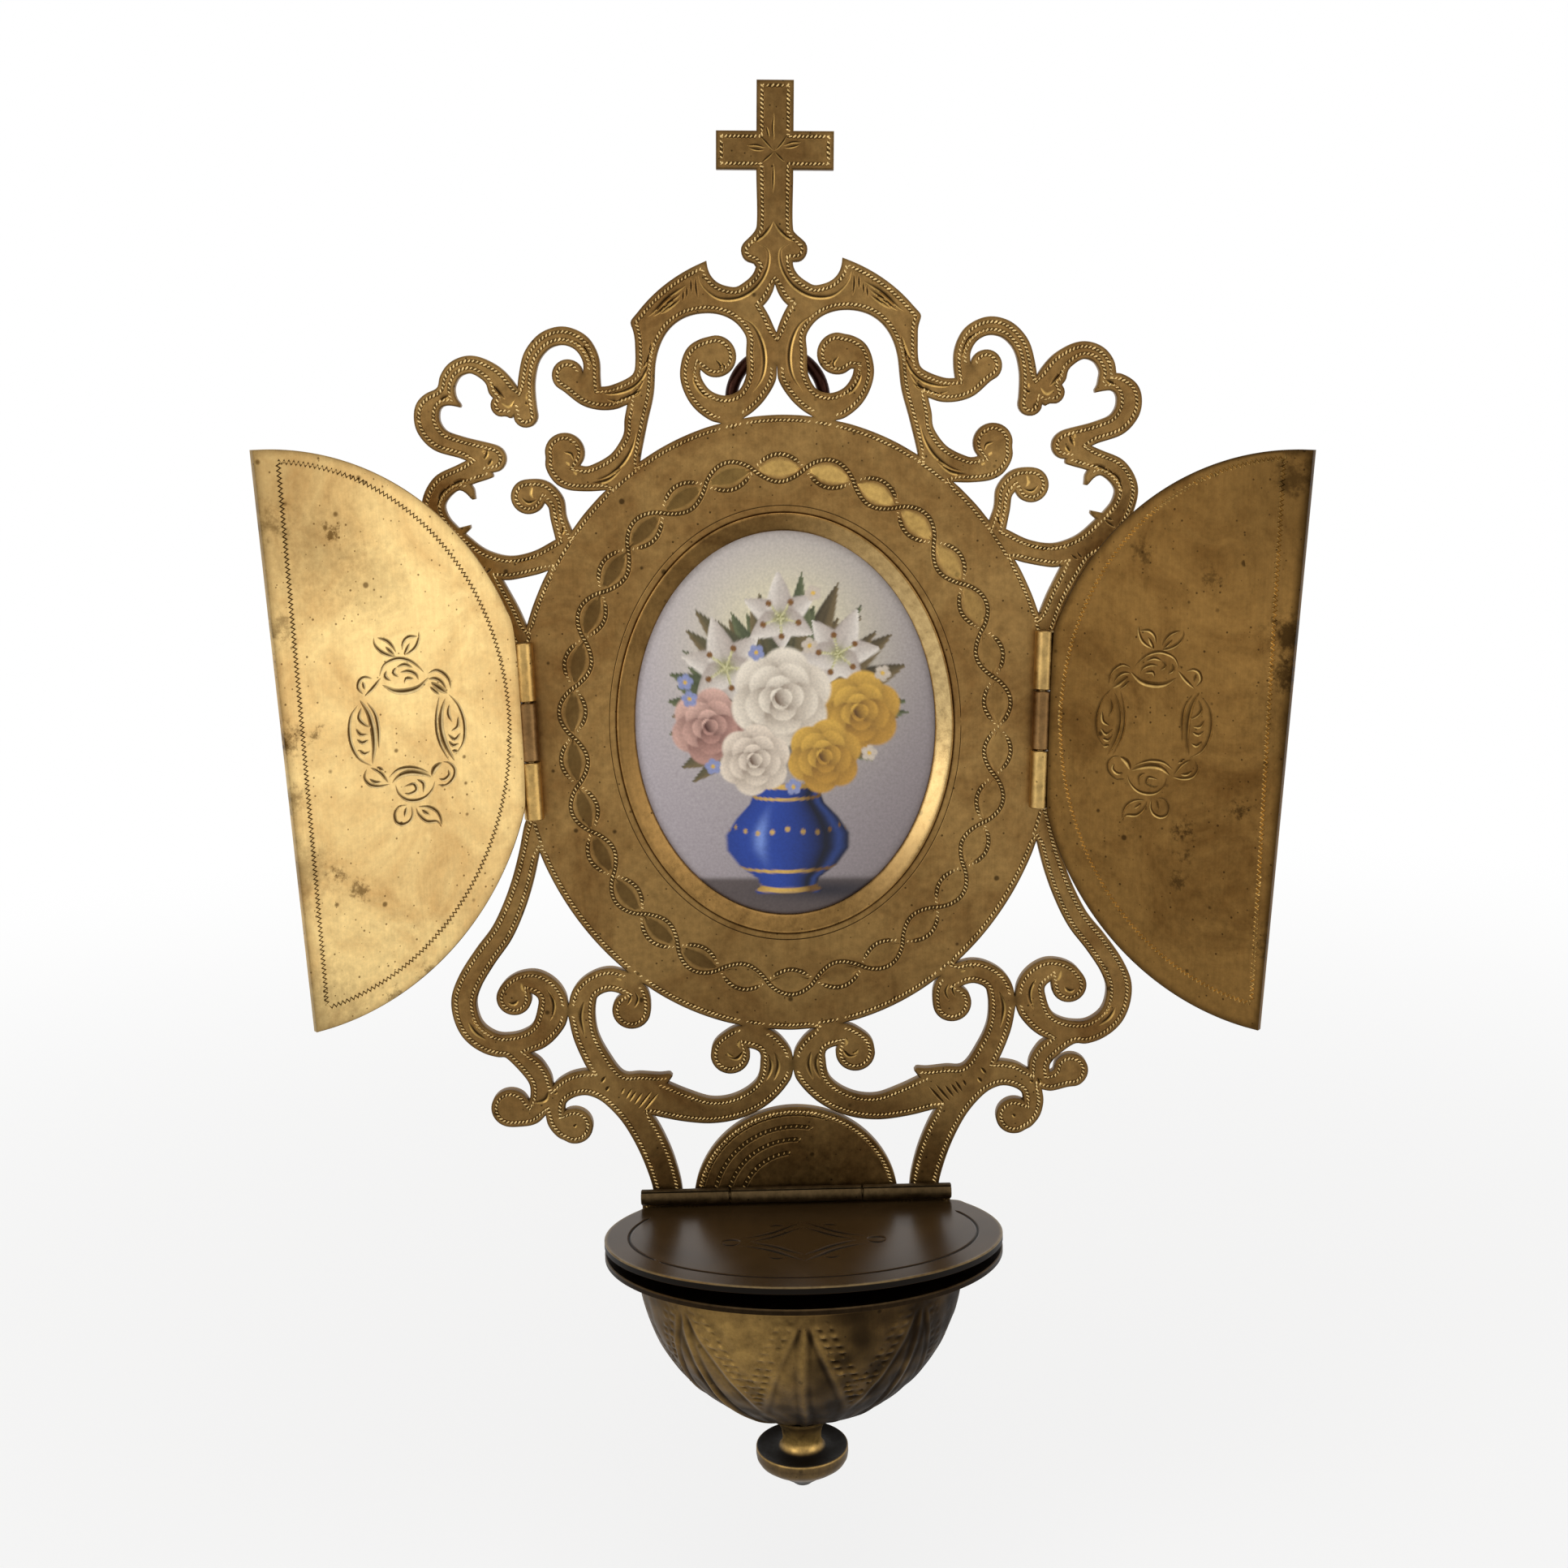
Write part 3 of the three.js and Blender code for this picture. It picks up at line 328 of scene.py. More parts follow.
# %% [markdown]
# The script finds a sheet's face in its CAD solid as the largest flat one that looks the right way, and
# follows the open edges round it. From there on all drawing on a sheet is done flat, in millimetres
# across and up, and is only put back in place at the end, whichever way the sheet leans.

# %% Reading a sheet
Sheet = namedtuple("Sheet", "origin across up out thickness loops tree")


def read_sheet(node, towards, up, origin):
    """The loops of a CAD node's largest flat face that looks towards a direction."""
    solid = bmesh.new()
    solid.from_mesh(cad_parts[node].data)
    bmesh.ops.remove_doubles(solid, verts=solid.verts, dist=1e-6)
    planes = {}
    for face in solid.faces:
        if face.normal.dot(Vector(towards)) > 0.7:
            level = round(face.normal.dot(face.verts[0].co), 4)
            planes.setdefault((*(round(c, 2) for c in face.normal), level), []).append(face)
    flat = max(planes.values(), key=lambda faces: sum(f.calc_area() for f in faces))
    out = max(flat, key=lambda f: f.calc_area()).normal.copy()
    up = (Vector(up) - out * out.dot(Vector(up))).normalized()
    across = up.cross(out)
    level = flat[0].verts[0].co.dot(out)
    thickness = level - min(v.co.dot(out) for v in solid.verts)
    origin = Vector(origin) * MM
    origin += out * (level - origin.dot(out))
    chosen = set(flat)
    following = {}
    for face in flat:
        for corner in face.loops:
            if not any(other in chosen for other in corner.edge.link_faces if other is not face):
                following[corner.vert] = corner.link_loop_next.vert
    loops = []
    while following:
        loop = [next(iter(following))]
        while loop[-1] in following:
            loop.append(following.pop(loop[-1]))
        away = [v.co - origin for v in loop[:-1]]
        loops.append(sawn_curve(np.array([(a.dot(across), a.dot(up)) for a in away]) / MM))
    solid.free()
    return Sheet(origin, across, up, out, thickness / MM, loops, point_tree(np.vstack(loops)))


def in_place(sheet, points, height=0.0):
    """Sheet millimetres to metres in the frame, some height in front of the face."""
    flat = np.column_stack([points, np.broadcast_to(height, len(points))]) * MM
    return flat @ np.array([sheet.across, sheet.up, sheet.out]) + np.array(sheet.origin)


plate = read_sheet("backplate", (0, -1, 0), (0, 0, 1), (0, 0, 0))
print("plate:", len(plate.loops), "loops,", round(plate.thickness, 2), "mm thick,",
      sum(len(loop) for loop in plate.loops), "outline points")

# %% [markdown]
# An engraver keeps on the metal and at an even distance from its edge. So two questions come up for every
# line: which of its points are on metal, and how an outline looks when it is moved in by a little. What
# comes out is cut into stretches, because a row stops where the metal gets too narrow for it.

# %% Keeping on the metal
FILED_EDGE = 0.2
SHORT_ROW = 1.5  # a shorter stretch isn't worth a row
ROW_SLACK = 0.94  # the share of its depth that a row keeps from any other edge


def inside(loops, points):
    """Whether each point is in the material, counted row by row to keep it quick."""
    a = np.vstack(loops)
    b = np.vstack([np.roll(loop, -1, axis=0) for loop in loops])
    low, high = np.minimum(a[:, 1], b[:, 1]), np.maximum(a[:, 1], b[:, 1])
    odd = np.zeros(len(points), bool)
    rows = np.floor(points[:, 1])
    for row in np.unique(rows):
        here = np.nonzero(rows == row)[0]
        near = (low <= row + 1) & (high >= row)
        start, end = a[near], b[near]
        v = points[here, 1][:, None]
        crossing = (start[:, 1] > v) != (end[:, 1] > v)
        rise = np.where(end[:, 1] == start[:, 1], 1, end[:, 1] - start[:, 1])
        slope = (end[:, 0] - start[:, 0]) / rise
        hit = start[:, 0] + (v - start[:, 1]) * slope > points[here, 0][:, None]
        odd[here] = (crossing & hit).sum(axis=1) % 2 == 1
    return odd


def inset(loop, depth):
    """A loop moved into the material, with mitred corners."""
    normal = leftward(unit(np.roll(loop, -1, axis=0) - loop))
    both = normal + np.roll(normal, 1, axis=0)
    return loop + depth * both / np.maximum((both * both).sum(axis=1) / 2, 0.5)[:, None]


def edge_gap(sheet, line):
    """How far each point of a line is from the nearest edge."""
    return np.array([sheet.tree.find((u, v, 0))[2] for u, v in line])


def stretches(line, good, least):
    """The parts of a line that are good for more than so many points."""
    ends = np.nonzero(np.diff(np.concatenate([[0], good.astype(int), [0]])))[0]
    return [line[a:b] for a, b in zip(ends[::2], ends[1::2]) if b - a > least]


def on_metal(sheet, line, margin):
    """Cuts a line into the stretches that keep a margin from every edge."""
    return stretches(line, inside(sheet.loops, line) & (edge_gap(sheet, line) >= margin), 2)


def edge_rows(sheet, depth):
    """Lines that keep a depth from the sawn edge, where the metal is wide enough."""
    rows = []
    for loop in sheet.loops:
        line = inset(loop, depth)
        line = np.vstack([line, line[:1]])
        rows += stretches(line, edge_gap(sheet, line) > depth * ROW_SLACK, SHORT_ROW / (2 * OUTLINE_STEP))
    return rows


print("rows at the filed edge of the plate:", len(edge_rows(plate, FILED_EDGE)))

# %% [markdown]
# An engraver's cut is a V with two lips and a bottom, thin at both ends. Here a cut is three lines on
# the flat sheet, each point with its depth and its share of dirt or shine. Bump in a material would be
# less work, but it only looks cut from the front. The cut stops short of the edge wherever its line
# leaves the metal.

# %% A cut
Line = namedtuple("Line", "points depth tarnish polish closed")
CUT_MARGIN = 0.06  # metal left between a cut and the filed edge
LIGHT_FROM = np.array([-0.5, 0.86])
FLANK_PLACE, FLANK_DEPTH = 0.62, 0.45  # of the lit side, as shares of the cut's half width and depth


def level_line(points, depth=0.0, tarnish=0.0, polish=0.0, closed=False):
    """A line whose points share one depth, tarnish and polish."""
    return Line(points, *(np.full(len(points), value) for value in (depth, tarnish, polish)), closed)


def cut(sheet, points, width, depth, tarnish=0.9, polish=0.0, drawn=True, tapered=True, floor=0.0, flank=0.0):
    """The lips and the bottom of a cut.

    A floor is the level share of its width, and a flank the shine of the side that the light meets.
    """
    lines = []
    path = hand_line(points) if drawn else np.array(points)
    for run in on_metal(sheet, path, width / 2 + FILED_EDGE + CUT_MARGIN):
        side = leftward(unit(np.gradient(run, axis=0)))
        t = np.linspace(0, 1, len(run))
        blunt = np.minimum(1, np.minimum(t, 1 - t) * len(run) / 2)
        level = np.sin(math.pi * t) ** 0.6 if tapered else blunt
        half = width / 2 * level[:, None] * side
        lines += [level_line(run + way * half) for way in (-1, 1)]
        for way in (-1, 1) if floor else (0,):
            bottom = run + way * floor * half
            lines.append(Line(bottom, depth * level, tarnish * level, polish * level, False))
        if flank:
            lit = -1 if (side @ LIGHT_FROM).mean() > 0 else 1
            slope = run + FLANK_PLACE * lit * half
            lines.append(Line(slope, FLANK_DEPTH * depth * level, 0 * level, flank * level, False))
    return lines


print("a test cut has", len(cut(plate, [(30, 10), (40, 12)], 0.5, 0.1)), "lines")

# %% [markdown]
# All lines of a sheet and its outline go into one Delaunay triangulation, which keeps every line as edges
# of its triangles, and so the face is really cut. A piece is then welded and shaded smooth, and only
# edges that bend by more than a given angle stay sharp.

# %% Meshes
def mesh_piece(name, points, faces, material, values=None, sharp=30):
    """A welded, smooth-shaded mesh object with its tarnish and polish."""
    mesh = bpy.data.meshes.new(name)
    mesh.from_pydata([tuple(p) for p in points], [], [tuple(int(i) for i in f) for f in faces])
    for key, value in (values or {}).items():
        mesh.attributes.new(key, "FLOAT", "POINT").data.foreach_set("value", np.array(value, np.float32))
    weld = bmesh.new()
    weld.from_mesh(mesh)
    bmesh.ops.remove_doubles(weld, verts=weld.verts, dist=2e-6)
    bmesh.ops.dissolve_degenerate(weld, edges=weld.edges, dist=1e-7)
    weld.to_mesh(mesh)
    weld.free()
    mesh.shade_smooth()
    mesh.set_sharp_from_angle(angle=math.radians(sharp))
    mesh.materials.append(material)
    piece = bpy.data.objects.new(name, mesh)
    bpy.context.scene.collection.objects.link(piece)
    return piece


def chain_edges(runs):
    """Edges along runs of points in one list, each run given by its count and whether it closes."""
    edges, start = [], 0
    for count, closed in runs:
        i = np.arange(start, start + count)
        edges.append(np.stack([i, np.roll(i, -1)], axis=1)[:None if closed else -1])
        start += count
    return np.vstack(edges)


def triangulate(points, runs, loops):
    """Delaunay triangles within loops that keep every run, and the given points behind each new one."""
    edges = [tuple(map(int, edge)) for edge in chain_edges(runs)]
    made = delaunay_2d_cdt([Vector(p) for p in points], edges, [], 0, 1e-5)
    spots, triangles = np.array([tuple(v) for v in made[0]]), np.array(made[2])
    return spots, triangles[inside(loops, spots[triangles].mean(axis=1))], made[3]


print("two runs of 3 points, the second closed, have", len(chain_edges([(3, False), (3, True)])), "edges")

# %% [markdown]
# A whole sheet has four skins: the cut face, a filed edge that slopes away from it, the sawn wall and a
# plain back. Dirt and wear are given at the edge and fade over a narrow band, which is one more line in
# the triangulation. The skins share their outline points, so that welding closes them into one body.

# %% Engraved sheets
EDGE_BAND = 0.34  # how far wear or dirt of the edge reaches onto the face
FILED_DROP = FILED_EDGE * 0.7
WALL_SHADE_SPAN = (FILED_EDGE * 1.6, 0.04)  # painted shade on the wall starts below the face and ends above the back


def engraved_sheet(name, sheet, lines, material, edge=(0.0, 0.0), band=EDGE_BAND, wall_shade=None):
    """The cut face, the filed edge with its dirt and wear, the sawn wall with any painted shade and the plain
    back of a sheet.
    """
    rims = [inset(loop, FILED_EDGE) for loop in sheet.loops]
    every = [level_line(rim, 0.0, *edge, closed=True) for rim in rims] + lines
    if any(edge):
        every += [level_line(row) for row in edge_rows(sheet, FILED_EDGE + band)]
    points = np.vstack([line.points for line in every])
    given = np.stack([np.concatenate([line[k] for line in every]) for k in (1, 2, 3)])
    spots, triangles, behind = triangulate(points, [(len(line.points), line.closed) for line in every], rims)
    nearest = point_tree(points)
    face = np.array([given[:, b].max(axis=1) if b else given[:, nearest.find((*s, 0))[1]]
                     for b, s in zip(behind, spots)])
    vertices, faces = [in_place(sheet, spots, -face[:, 0])], [triangles]
    values, count = [face[:, 1:]], len(spots)
    for loop, rim in zip(sheet.loops, rims):
        n = len(loop)
        rows = [(rim, 0, edge), (loop, -FILED_DROP, edge), (loop, -sheet.thickness, (0, 0))]
        if wall_shade:
            rows[2:2] = [(loop, -WALL_SHADE_SPAN[0], wall_shade), (loop, WALL_SHADE_SPAN[1] - sheet.thickness, wall_shade)]
        for line, height, value in rows:
            vertices.append(in_place(sheet, line, height))
            values.append(np.tile(value, (n, 1)))
        i = np.arange(n)
        j = (i + 1) % n
        for ring in range(count, count + (len(rows) - 1) * n, n):
            for order in ((i, i + n, j), (j, i + n, j + n)):
                faces.append(np.stack(order, axis=1) + ring)
        count += len(rows) * n
    outline = [(len(loop), True) for loop in sheet.loops]
    spots, triangles, _ = triangulate(np.vstack(sheet.loops), outline, sheet.loops)
    vertices.append(in_place(sheet, spots, -sheet.thickness))
    values.append(np.zeros((len(spots), 2)))
    faces.append(triangles[:, ::-1] + count)
    tarnish, polish = np.vstack(values).T
    piece = mesh_piece(name, np.vstack(vertices), np.vstack(faces), material,
                       {"tarnish": tarnish, "polish": polish}, sharp=7)
    print(name, "has", len(piece.data.polygons), "faces")
    return piece


print("sawn edge of the plate:", round(sum(reach_along(loop)[-1] for loop in plate.loops)), "mm")

# %% [markdown]
# The pierced plate is the showpiece. Along every sawn edge runs a roulette row, a line of small slanted
# ticks that a toothed wheel leaves. Inside the rows the engraver followed the flow of each scroll with
# long tapered cuts, laid short hatches across the narrow places and left a few bright nicks in the eyes of
# the curls. One side is drawn here and mirrored, as the engraver worked from one drawing.

# %% The engraver's strokes
def strokes(text):
    """Strokes written as points across,up in millimetres, with a semicolon between two strokes."""
    return [[tuple(map(float, point.split(","))) for point in stroke.split()] for stroke in text.split(";")]


def flipped(drawing, ways):
    """Strokes repeated with their two coordinates turned over."""
    return [[(a * u, b * v) for u, v in stroke] for a, b in ways for stroke in drawing]


BOTH_SIDES = ((1, 1), (-1, 1))
LONG_CUTS = strokes("""
    6.5,70.2 4,68.6 2.6,66 2.1,63 2.6,60 4.4,57.2; 10.5,56.4 12.6,57.4 13.9,59.3 14.1,61.4;
    0,85.6 1.2,84 2.6,82.8 4.4,81.9;
    2.9,82 1.2,81 1,79.2 1.8,76.8 3.6,74.6 6.4,73.2 9.4,73.2 11.4,74.4 12.5,75.8 13,77.2;
    14.9,75.5 16.6,74.6 18.4,73.4 20.2,71.7 21.8,70.3; 15.8,74.2 17.6,73 19.4,71.5 20.8,70.4;
    16,73.2 17.8,72.1 19.6,70.8; 21.2,66.5 21.6,64.6 22.6,62.4 24.6,60.6;
    21.6,64.5 22.4,61.5 24.2,59.2 27,58 29.6,57.9 31,58.9; 22.6,60 24.5,57.8 27.5,56.6 29.3,56.9;
    23.2,58.4 25,57.2; 31.4,62.2 32.2,65 34.4,66.6 37.4,66.4 39.6,64.8;
    41.2,60.2 41.5,58.2 42.6,56.6 43.4,56.4; 46.4,57.2 47.8,58.8 49.6,60.9 51.8,61.9 54,61.4;
    56,58.2 58,57.2; 57.8,55.4 58.4,53.4 57.6,51.6; 50.6,50 50.1,48.6 50.8,47; 49.2,47.4 50.2,46;
    48.9,46.2 50.4,44.6 53,43.8 55.6,43.4 57.6,42; 56.4,43.2 58.4,41.4 59.2,39.2;
    38.6,37.8 38.9,34.8 40.4,32 43,30.3 46.4,29.7 49.8,30.2;
    24.3,51.5 25.2,48.8 26.8,46.2 29.2,44.2 32,43.2; 27,45.3 29.6,43.3 32.6,42.7;
    37.6,39.5 37.4,36.5 38,33.8; 37.8,-57 38.4,-53 37.6,-50; 44.4,-47.5 43.2,-50 43.4,-53;
    44,-48.2 43.2,-50.8 43.9,-53.6; 49.4,-49.4 50.4,-50.2 51.4,-50; 55.6,-57 57.6,-55.4 58.8,-53.4;
    3.4,-60.5 2.8,-63 3.6,-66; 4.6,-60.8 4.1,-63.2 5,-66; 44.6,-66.5 45.6,-68.6 47.8,-69.2""")
EYE_CUTS = strokes("""
    9.4,62.6 8.8,61.6 9.2,60.4; 10.6,63.2 9.6,62 10.2,60.6; 11.8,61.4 11.2,60.6 11.9,60.2;
    33.8,48.4 34.6,49.6 36,49.8; 35.2,46.5 35.6,47.8 37,48.2; 41.8,40.2 43.4,39.7 44.6,40.6;
    28.6,-48.2 27.9,-49.8 28.6,-51.6; 30,-47.8 29.2,-49.4 29.8,-51; 9,-60.2 10.2,-61.6 11.8,-61.4;
    43.2,-67 43.9,-67.6; 40,-73.4 40.6,-74.2; 34.2,-64.3 35.3,-65.8; 33.6,-66.2 34.5,-67.4""")
BRIGHT_NICKS = strokes("""
    42.6,58.6 43,57; 44.9,57.2 46,56 47.4,56.8; 50.9,49.4 50.6,48; 48.4,45.8 50.2,44.9; 36,45.8 36.6,46.6;
    34.8,44.2 35.4,44.9; 42.6,42.6 42.9,41 42.4,40.4; 40.6,41.2 41,40.2; 30.6,-46.2 31.6,-45.8;
    31.4,-49.6 32,-51.4; 48.9,-46.2 48.6,-47.6 47.8,-48.6; 55.2,-56.2 57,-54.8 58.2,-52.6;
    9.6,-58 9.9,-59 9.4,-59.8; 10.6,-61.4 11.6,-60.9 12,-60.2""")
HATCHES = strokes("""
    13.3,77 13.4,75.4 13.1,73; 14.2,76.7 14.2,74; 14.9,75.4 15,73.3; 15.5,74.8 15.7,72.7;
    55.4,35.4 57.6,34.2; 56,34.4 58,33; 50.2,28.6 51.6,27.6; 51.2,29 52.4,27.8; 30.9,-66.6 31.6,-68;
    29.5,-66.8 30.8,-68.9; 28.7,-67.3 30.2,-69.5; 27.6,-67.6 29.3,-70; 25.9,-67.4 28.6,-70.8;
    24.7,-67.8 27.8,-71.5""")
CROSS_CUTS = strokes("""
    0.4,96.8 1.6,98 2.8,99.6; 0.4,96.8 -1,98.4 -2.4,99.8; 0.4,96.8 2.2,95; 0.4,96.8 -2,94.9;
    1.8,97.6 3.4,98.2 5,98.1; 2,97.3 3.6,97.5 4.8,97.8; -1,97.4 -2.6,97.9 -4.2,97.8;
    -1.2,97 -2.8,97.2 -4,97.5; 0.4,98.4 0.2,100.5 0.5,103; -0.4,98.8 -0.9,101; 0.2,95 0.1,92.4 0,90""")
LIT_HATCHES = 6  # the last ones of the left half, low on the plate, catch the light
hatching = flipped(HATCHES, BOTH_SIDES)
plate_lines = []
for drawing, width, depth, tarnish, polish, flank in (  # a flank is the side that the light meets
        (flipped(LONG_CUTS, BOTH_SIDES), 1.1, 0.24, 0.85, 0.0, 0.7),
        (flipped(EYE_CUTS, BOTH_SIDES), 0.8, 0.18, 0.9, 0.0, 0.6),
        (flipped(BRIGHT_NICKS, BOTH_SIDES), 0.7, 0.12, 0.0, 0.85, 0.0),
        (hatching[:-LIT_HATCHES], 0.62, 0.14, 0.9, 0.0, 0.0),
        (hatching[-LIT_HATCHES:], 0.62, 0.14, 0.0, 0.95, 0.0),
        (CROSS_CUTS, 0.6, 0.14, 0.9, 0.0, 0.6)):
    for stroke in drawing:
        plate_lines += cut(plate, stroke, width, depth, tarnish, polish, flank=flank)
print("lines of the strokes on the plate:", len(plate_lines))

# %% [markdown]
# Around the oval disc runs a chain of leaves: one wave that a roulette rolled in and out, a shorter arc
# opposite each of its swings, and a scooped leaf in between. The scoops of the leaves at the top get a
# painted highlight, and those on the left get painted shade. A thin scribed oval frames the bezel.

# %% The chain of leaves
DISC_CENTRE = -1.4
SIGHT_CENTRE = -0.6
CHAIN_HALF = (37.6, 46.0)
SCRIBED_HALF = (31.0, 38.8)
LEAVES = 30
LEAF_SWELL = 2.35
LEAF_SHORT = 0.58  # a leaf stops this far inside the rope
LEAF_GAP = 0.06  # share of a leaf's length that stays free at each end
SCOOP = ((-1, 0), (-0.6, 0.09), (0, 0.13), (0.6, 0.09), (1, 0))  # place across a leaf, and depth
HIGHLIGHT_TURN, HIGHLIGHT_REACH = 72, 50  # where the painted highlight on the leaves peaks and how far it reaches, in degrees round the disc from the right
# the leaves between these turns get painted shade
SHADE_TURNS = (96, 250)


def full_turn(count):
    """Angles round a full turn."""
    return np.linspace(0, 2 * math.pi, count, endpoint=False)


def oval(half, centre, count):
    """Points round an oval, counter-clockwise."""
    turn = full_turn(count)
    return np.stack([half[0] * np.cos(turn), centre + half[1] * np.sin(turn)], axis=1)


ring_line = oval(CHAIN_HALF, DISC_CENTRE, 1440)
spans = np.linalg.norm(np.roll(ring_line, -1, axis=0) - ring_line, axis=1)
share = (np.cumsum(spans) - spans) / spans.sum()
outward = -leftward(unit(np.roll(ring_line, -1, axis=0) - np.roll(ring_line, 1, axis=0)))
swing = np.sin(share * LEAVES * math.pi)
bulge = LEAF_SWELL * np.sign(swing) * np.abs(swing) ** 0.85
chain_rows = [(ring_line + bulge[:, None] * outward)[::3]]
for leaf in range(LEAVES):
    within = share * LEAVES - leaf
    arc = np.nonzero((within > LEAF_GAP) & (within < 1 - LEAF_GAP))[0]
    chain_rows.append((ring_line - bulge[:, None] * outward)[arc][::3])
    turn = math.degrees(math.atan2(*(ring_line[arc[len(arc) // 2]] - (0, DISC_CENTRE))[::-1])) % 360
    # painted highlight on the leaves near the top, painted shade on those at the left, light dirt in the rest
    shine = 0.05 + 0.85 * max(0.0, 1 - abs(turn - HIGHLIGHT_TURN) / HIGHLIGHT_REACH)
    shade = 0.5 if SHADE_TURNS[0] < turn < SHADE_TURNS[1] else 0.2
    half = np.maximum(np.abs(bulge[arc]) - LEAF_SHORT, 0.05)[::6, None] * outward[arc][::6]
    for part, deep in SCOOP:
        intensity = (shade, shine) if deep else (0.0, 0.0)
        plate_lines.append(level_line(ring_line[arc][::6] + part * half, deep, *intensity))
scribed = oval(SCRIBED_HALF, SIGHT_CENTRE, 360)
plate_lines += cut(plate, np.vstack([scribed, scribed[:2]]), width=0.34, depth=0.07, tarnish=0.8,
                   drawn=False, tapered=False)
print("leaves in the chain:", LEAVES, "with", len(chain_rows), "roulette rows")

# %% [markdown]
# The roulette rows are the best case for Geometry Nodes: thousands of equal ticks along given lines. The
# rows are edges in a mesh, and the tree turns them into curves, sets points along them at the wheel's
# pitch, and puts one small slanted tick on each, a little larger or smaller than the next. A tick has
# twenty faces. They are drawn somewhat coarser than the real ones, so that they show in a render.

# %% The wheel
Wheel = namedtuple("Wheel", "pitch tick slant")  # the tick has a half length, a half width and a height
EDGE_WHEEL = Wheel(0.7, (0.5, 0.21, 0.19), 48)
ROPE_WHEEL = Wheel(0.68, (0.46, 0.17, 0.16), 58)
PANEL_WHEEL = Wheel(0.95, (0.52, 0.2, 0.16), 62)
TICK_RANGE = (0.8, 1.15)
TICK_SEED = 7


def tick_tree():
    """The node tree that turns a mesh of lines into rows of ticks."""
    tree = bpy.data.node_groups.new("roulette_rows", "GeometryNodeTree")
    tree.interface.new_socket("Geometry", in_out="OUTPUT", socket_type="NodeSocketGeometry")
    for name, kind in (("Geometry", "Geometry"), ("Pitch", "Float"), ("Tick size", "Vector"),
                       ("Facing", "Vector"), ("Slant", "Float"), ("Finish", "Material")):
        tree.interface.new_socket(name, in_out="INPUT", socket_type="NodeSocket" + kind)
    given = add_node(tree, "NodeGroupInput").outputs
    rows = add_node(tree, "GeometryNodeMeshToCurve", {"Mesh": given["Geometry"]}).outputs["Curve"]
    points = add_node(tree, "GeometryNodeCurveToPoints", {
        "Curve": rows, "Length": given["Pitch"]}, mode="LENGTH").outputs
    facing = add_node(tree, "FunctionNodeEulerToRotation", {0: given["Facing"]}).outputs[0]
    along = add_node(tree, "FunctionNodeAlignRotationToVector", {
        "Rotation": facing, "Vector": points["Tangent"]}, axis="X", pivot_axis="Z").outputs[0]
    tilt = add_node(tree, "ShaderNodeCombineXYZ", {"Z": given["Slant"]}).outputs[0]
    slant = add_node(tree, "FunctionNodeEulerToRotation", {0: tilt}).outputs[0]
    turned = add_node(tree, "FunctionNodeRotateRotation", {
        "Rotation": along, "Rotate By": slant}, rotation_space="LOCAL").outputs[0]
    tick = add_node(tree, "GeometryNodeMeshIcoSphere", {"Radius": 1.0, "Subdivisions": 1}).outputs["Mesh"]
    uneven = add_node(tree, "FunctionNodeRandomValue", {
        2: TICK_RANGE[0], 3: TICK_RANGE[1], "Seed": TICK_SEED}, data_type="FLOAT").outputs[1]
    size = add_node(tree, "ShaderNodeVectorMath", {
        0: given["Tick size"], "Scale": uneven}, operation="SCALE").outputs["Vector"]
    ticks = add_node(tree, "GeometryNodeInstanceOnPoints", {
        "Points": points["Points"], "Instance": tick, "Rotation": turned, "Scale": size}).outputs[0]
    real = add_node(tree, "GeometryNodeRealizeInstances", {"Geometry": ticks}).outputs[0]
    smooth = add_node(tree, "GeometryNodeSetShadeSmooth", {"Geometry": real}).outputs[0]
    shown = add_node(tree, "GeometryNodeSetMaterial", {
        "Geometry": smooth, "Material": given["Finish"]}).outputs[0]
    add_node(tree, "NodeGroupOutput", {"Geometry": shown})
    return tree


ROULETTE = tick_tree()
print("the wheel's tree has", len(ROULETTE.nodes), "nodes")

# %% [markdown]
# To roll the wheel, the rows are laid on the sheet as a mesh of edges, the tree runs on it once, and what it
# made is kept as a plain mesh. The sizes of a wheel go in through the tree's named inputs.

# %% Rolling the wheel
def settle(name, source, tree, inputs):
    """Runs a node tree on a mesh object once and keeps the result as a plain mesh piece."""
    modifier = source.modifiers.new("nodes", "NODES")
    modifier.node_group = tree
    for socket in tree.interface.items_tree:
        if socket.in_out == "INPUT" and socket.name in inputs:
            modifier[socket.identifier] = inputs[socket.name]
    evaluated = source.evaluated_get(bpy.context.evaluated_depsgraph_get())
    mesh = bpy.data.meshes.new_from_object(evaluated)
    mesh.name = name
    source.modifiers.clear()
    bpy.data.objects.remove(source)
    piece = bpy.data.objects.new(name, mesh)
    bpy.context.scene.collection.objects.link(piece)
    print(name, "has", len(mesh.polygons), "faces")
    return piece


def roulette(name, sheet, rows, wheel, finish):
    """Rows of ticks standing on a sheet's face."""
    lines = bpy.data.meshes.new(name)
    points = np.vstack([in_place(sheet, row, 0.01) for row in rows])
    edges = chain_edges([(len(row), False) for row in rows])
    lines.from_pydata([tuple(p) for p in points], edges.tolist(), [])
    source = bpy.data.objects.new(name, lines)
    bpy.context.scene.collection.objects.link(source)
    facing = Matrix((sheet.across, sheet.up, sheet.out)).transposed().to_euler()
    return settle(name, source, ROULETTE, {
        "Pitch": wheel.pitch * MM, "Tick size": [s * MM for s in wheel.tick], "Facing": list(facing),
        "Slant": math.radians(wheel.slant), "Finish": finish})


print("ticks on a centimetre of edge:", round(10 / EDGE_WHEEL.pitch))

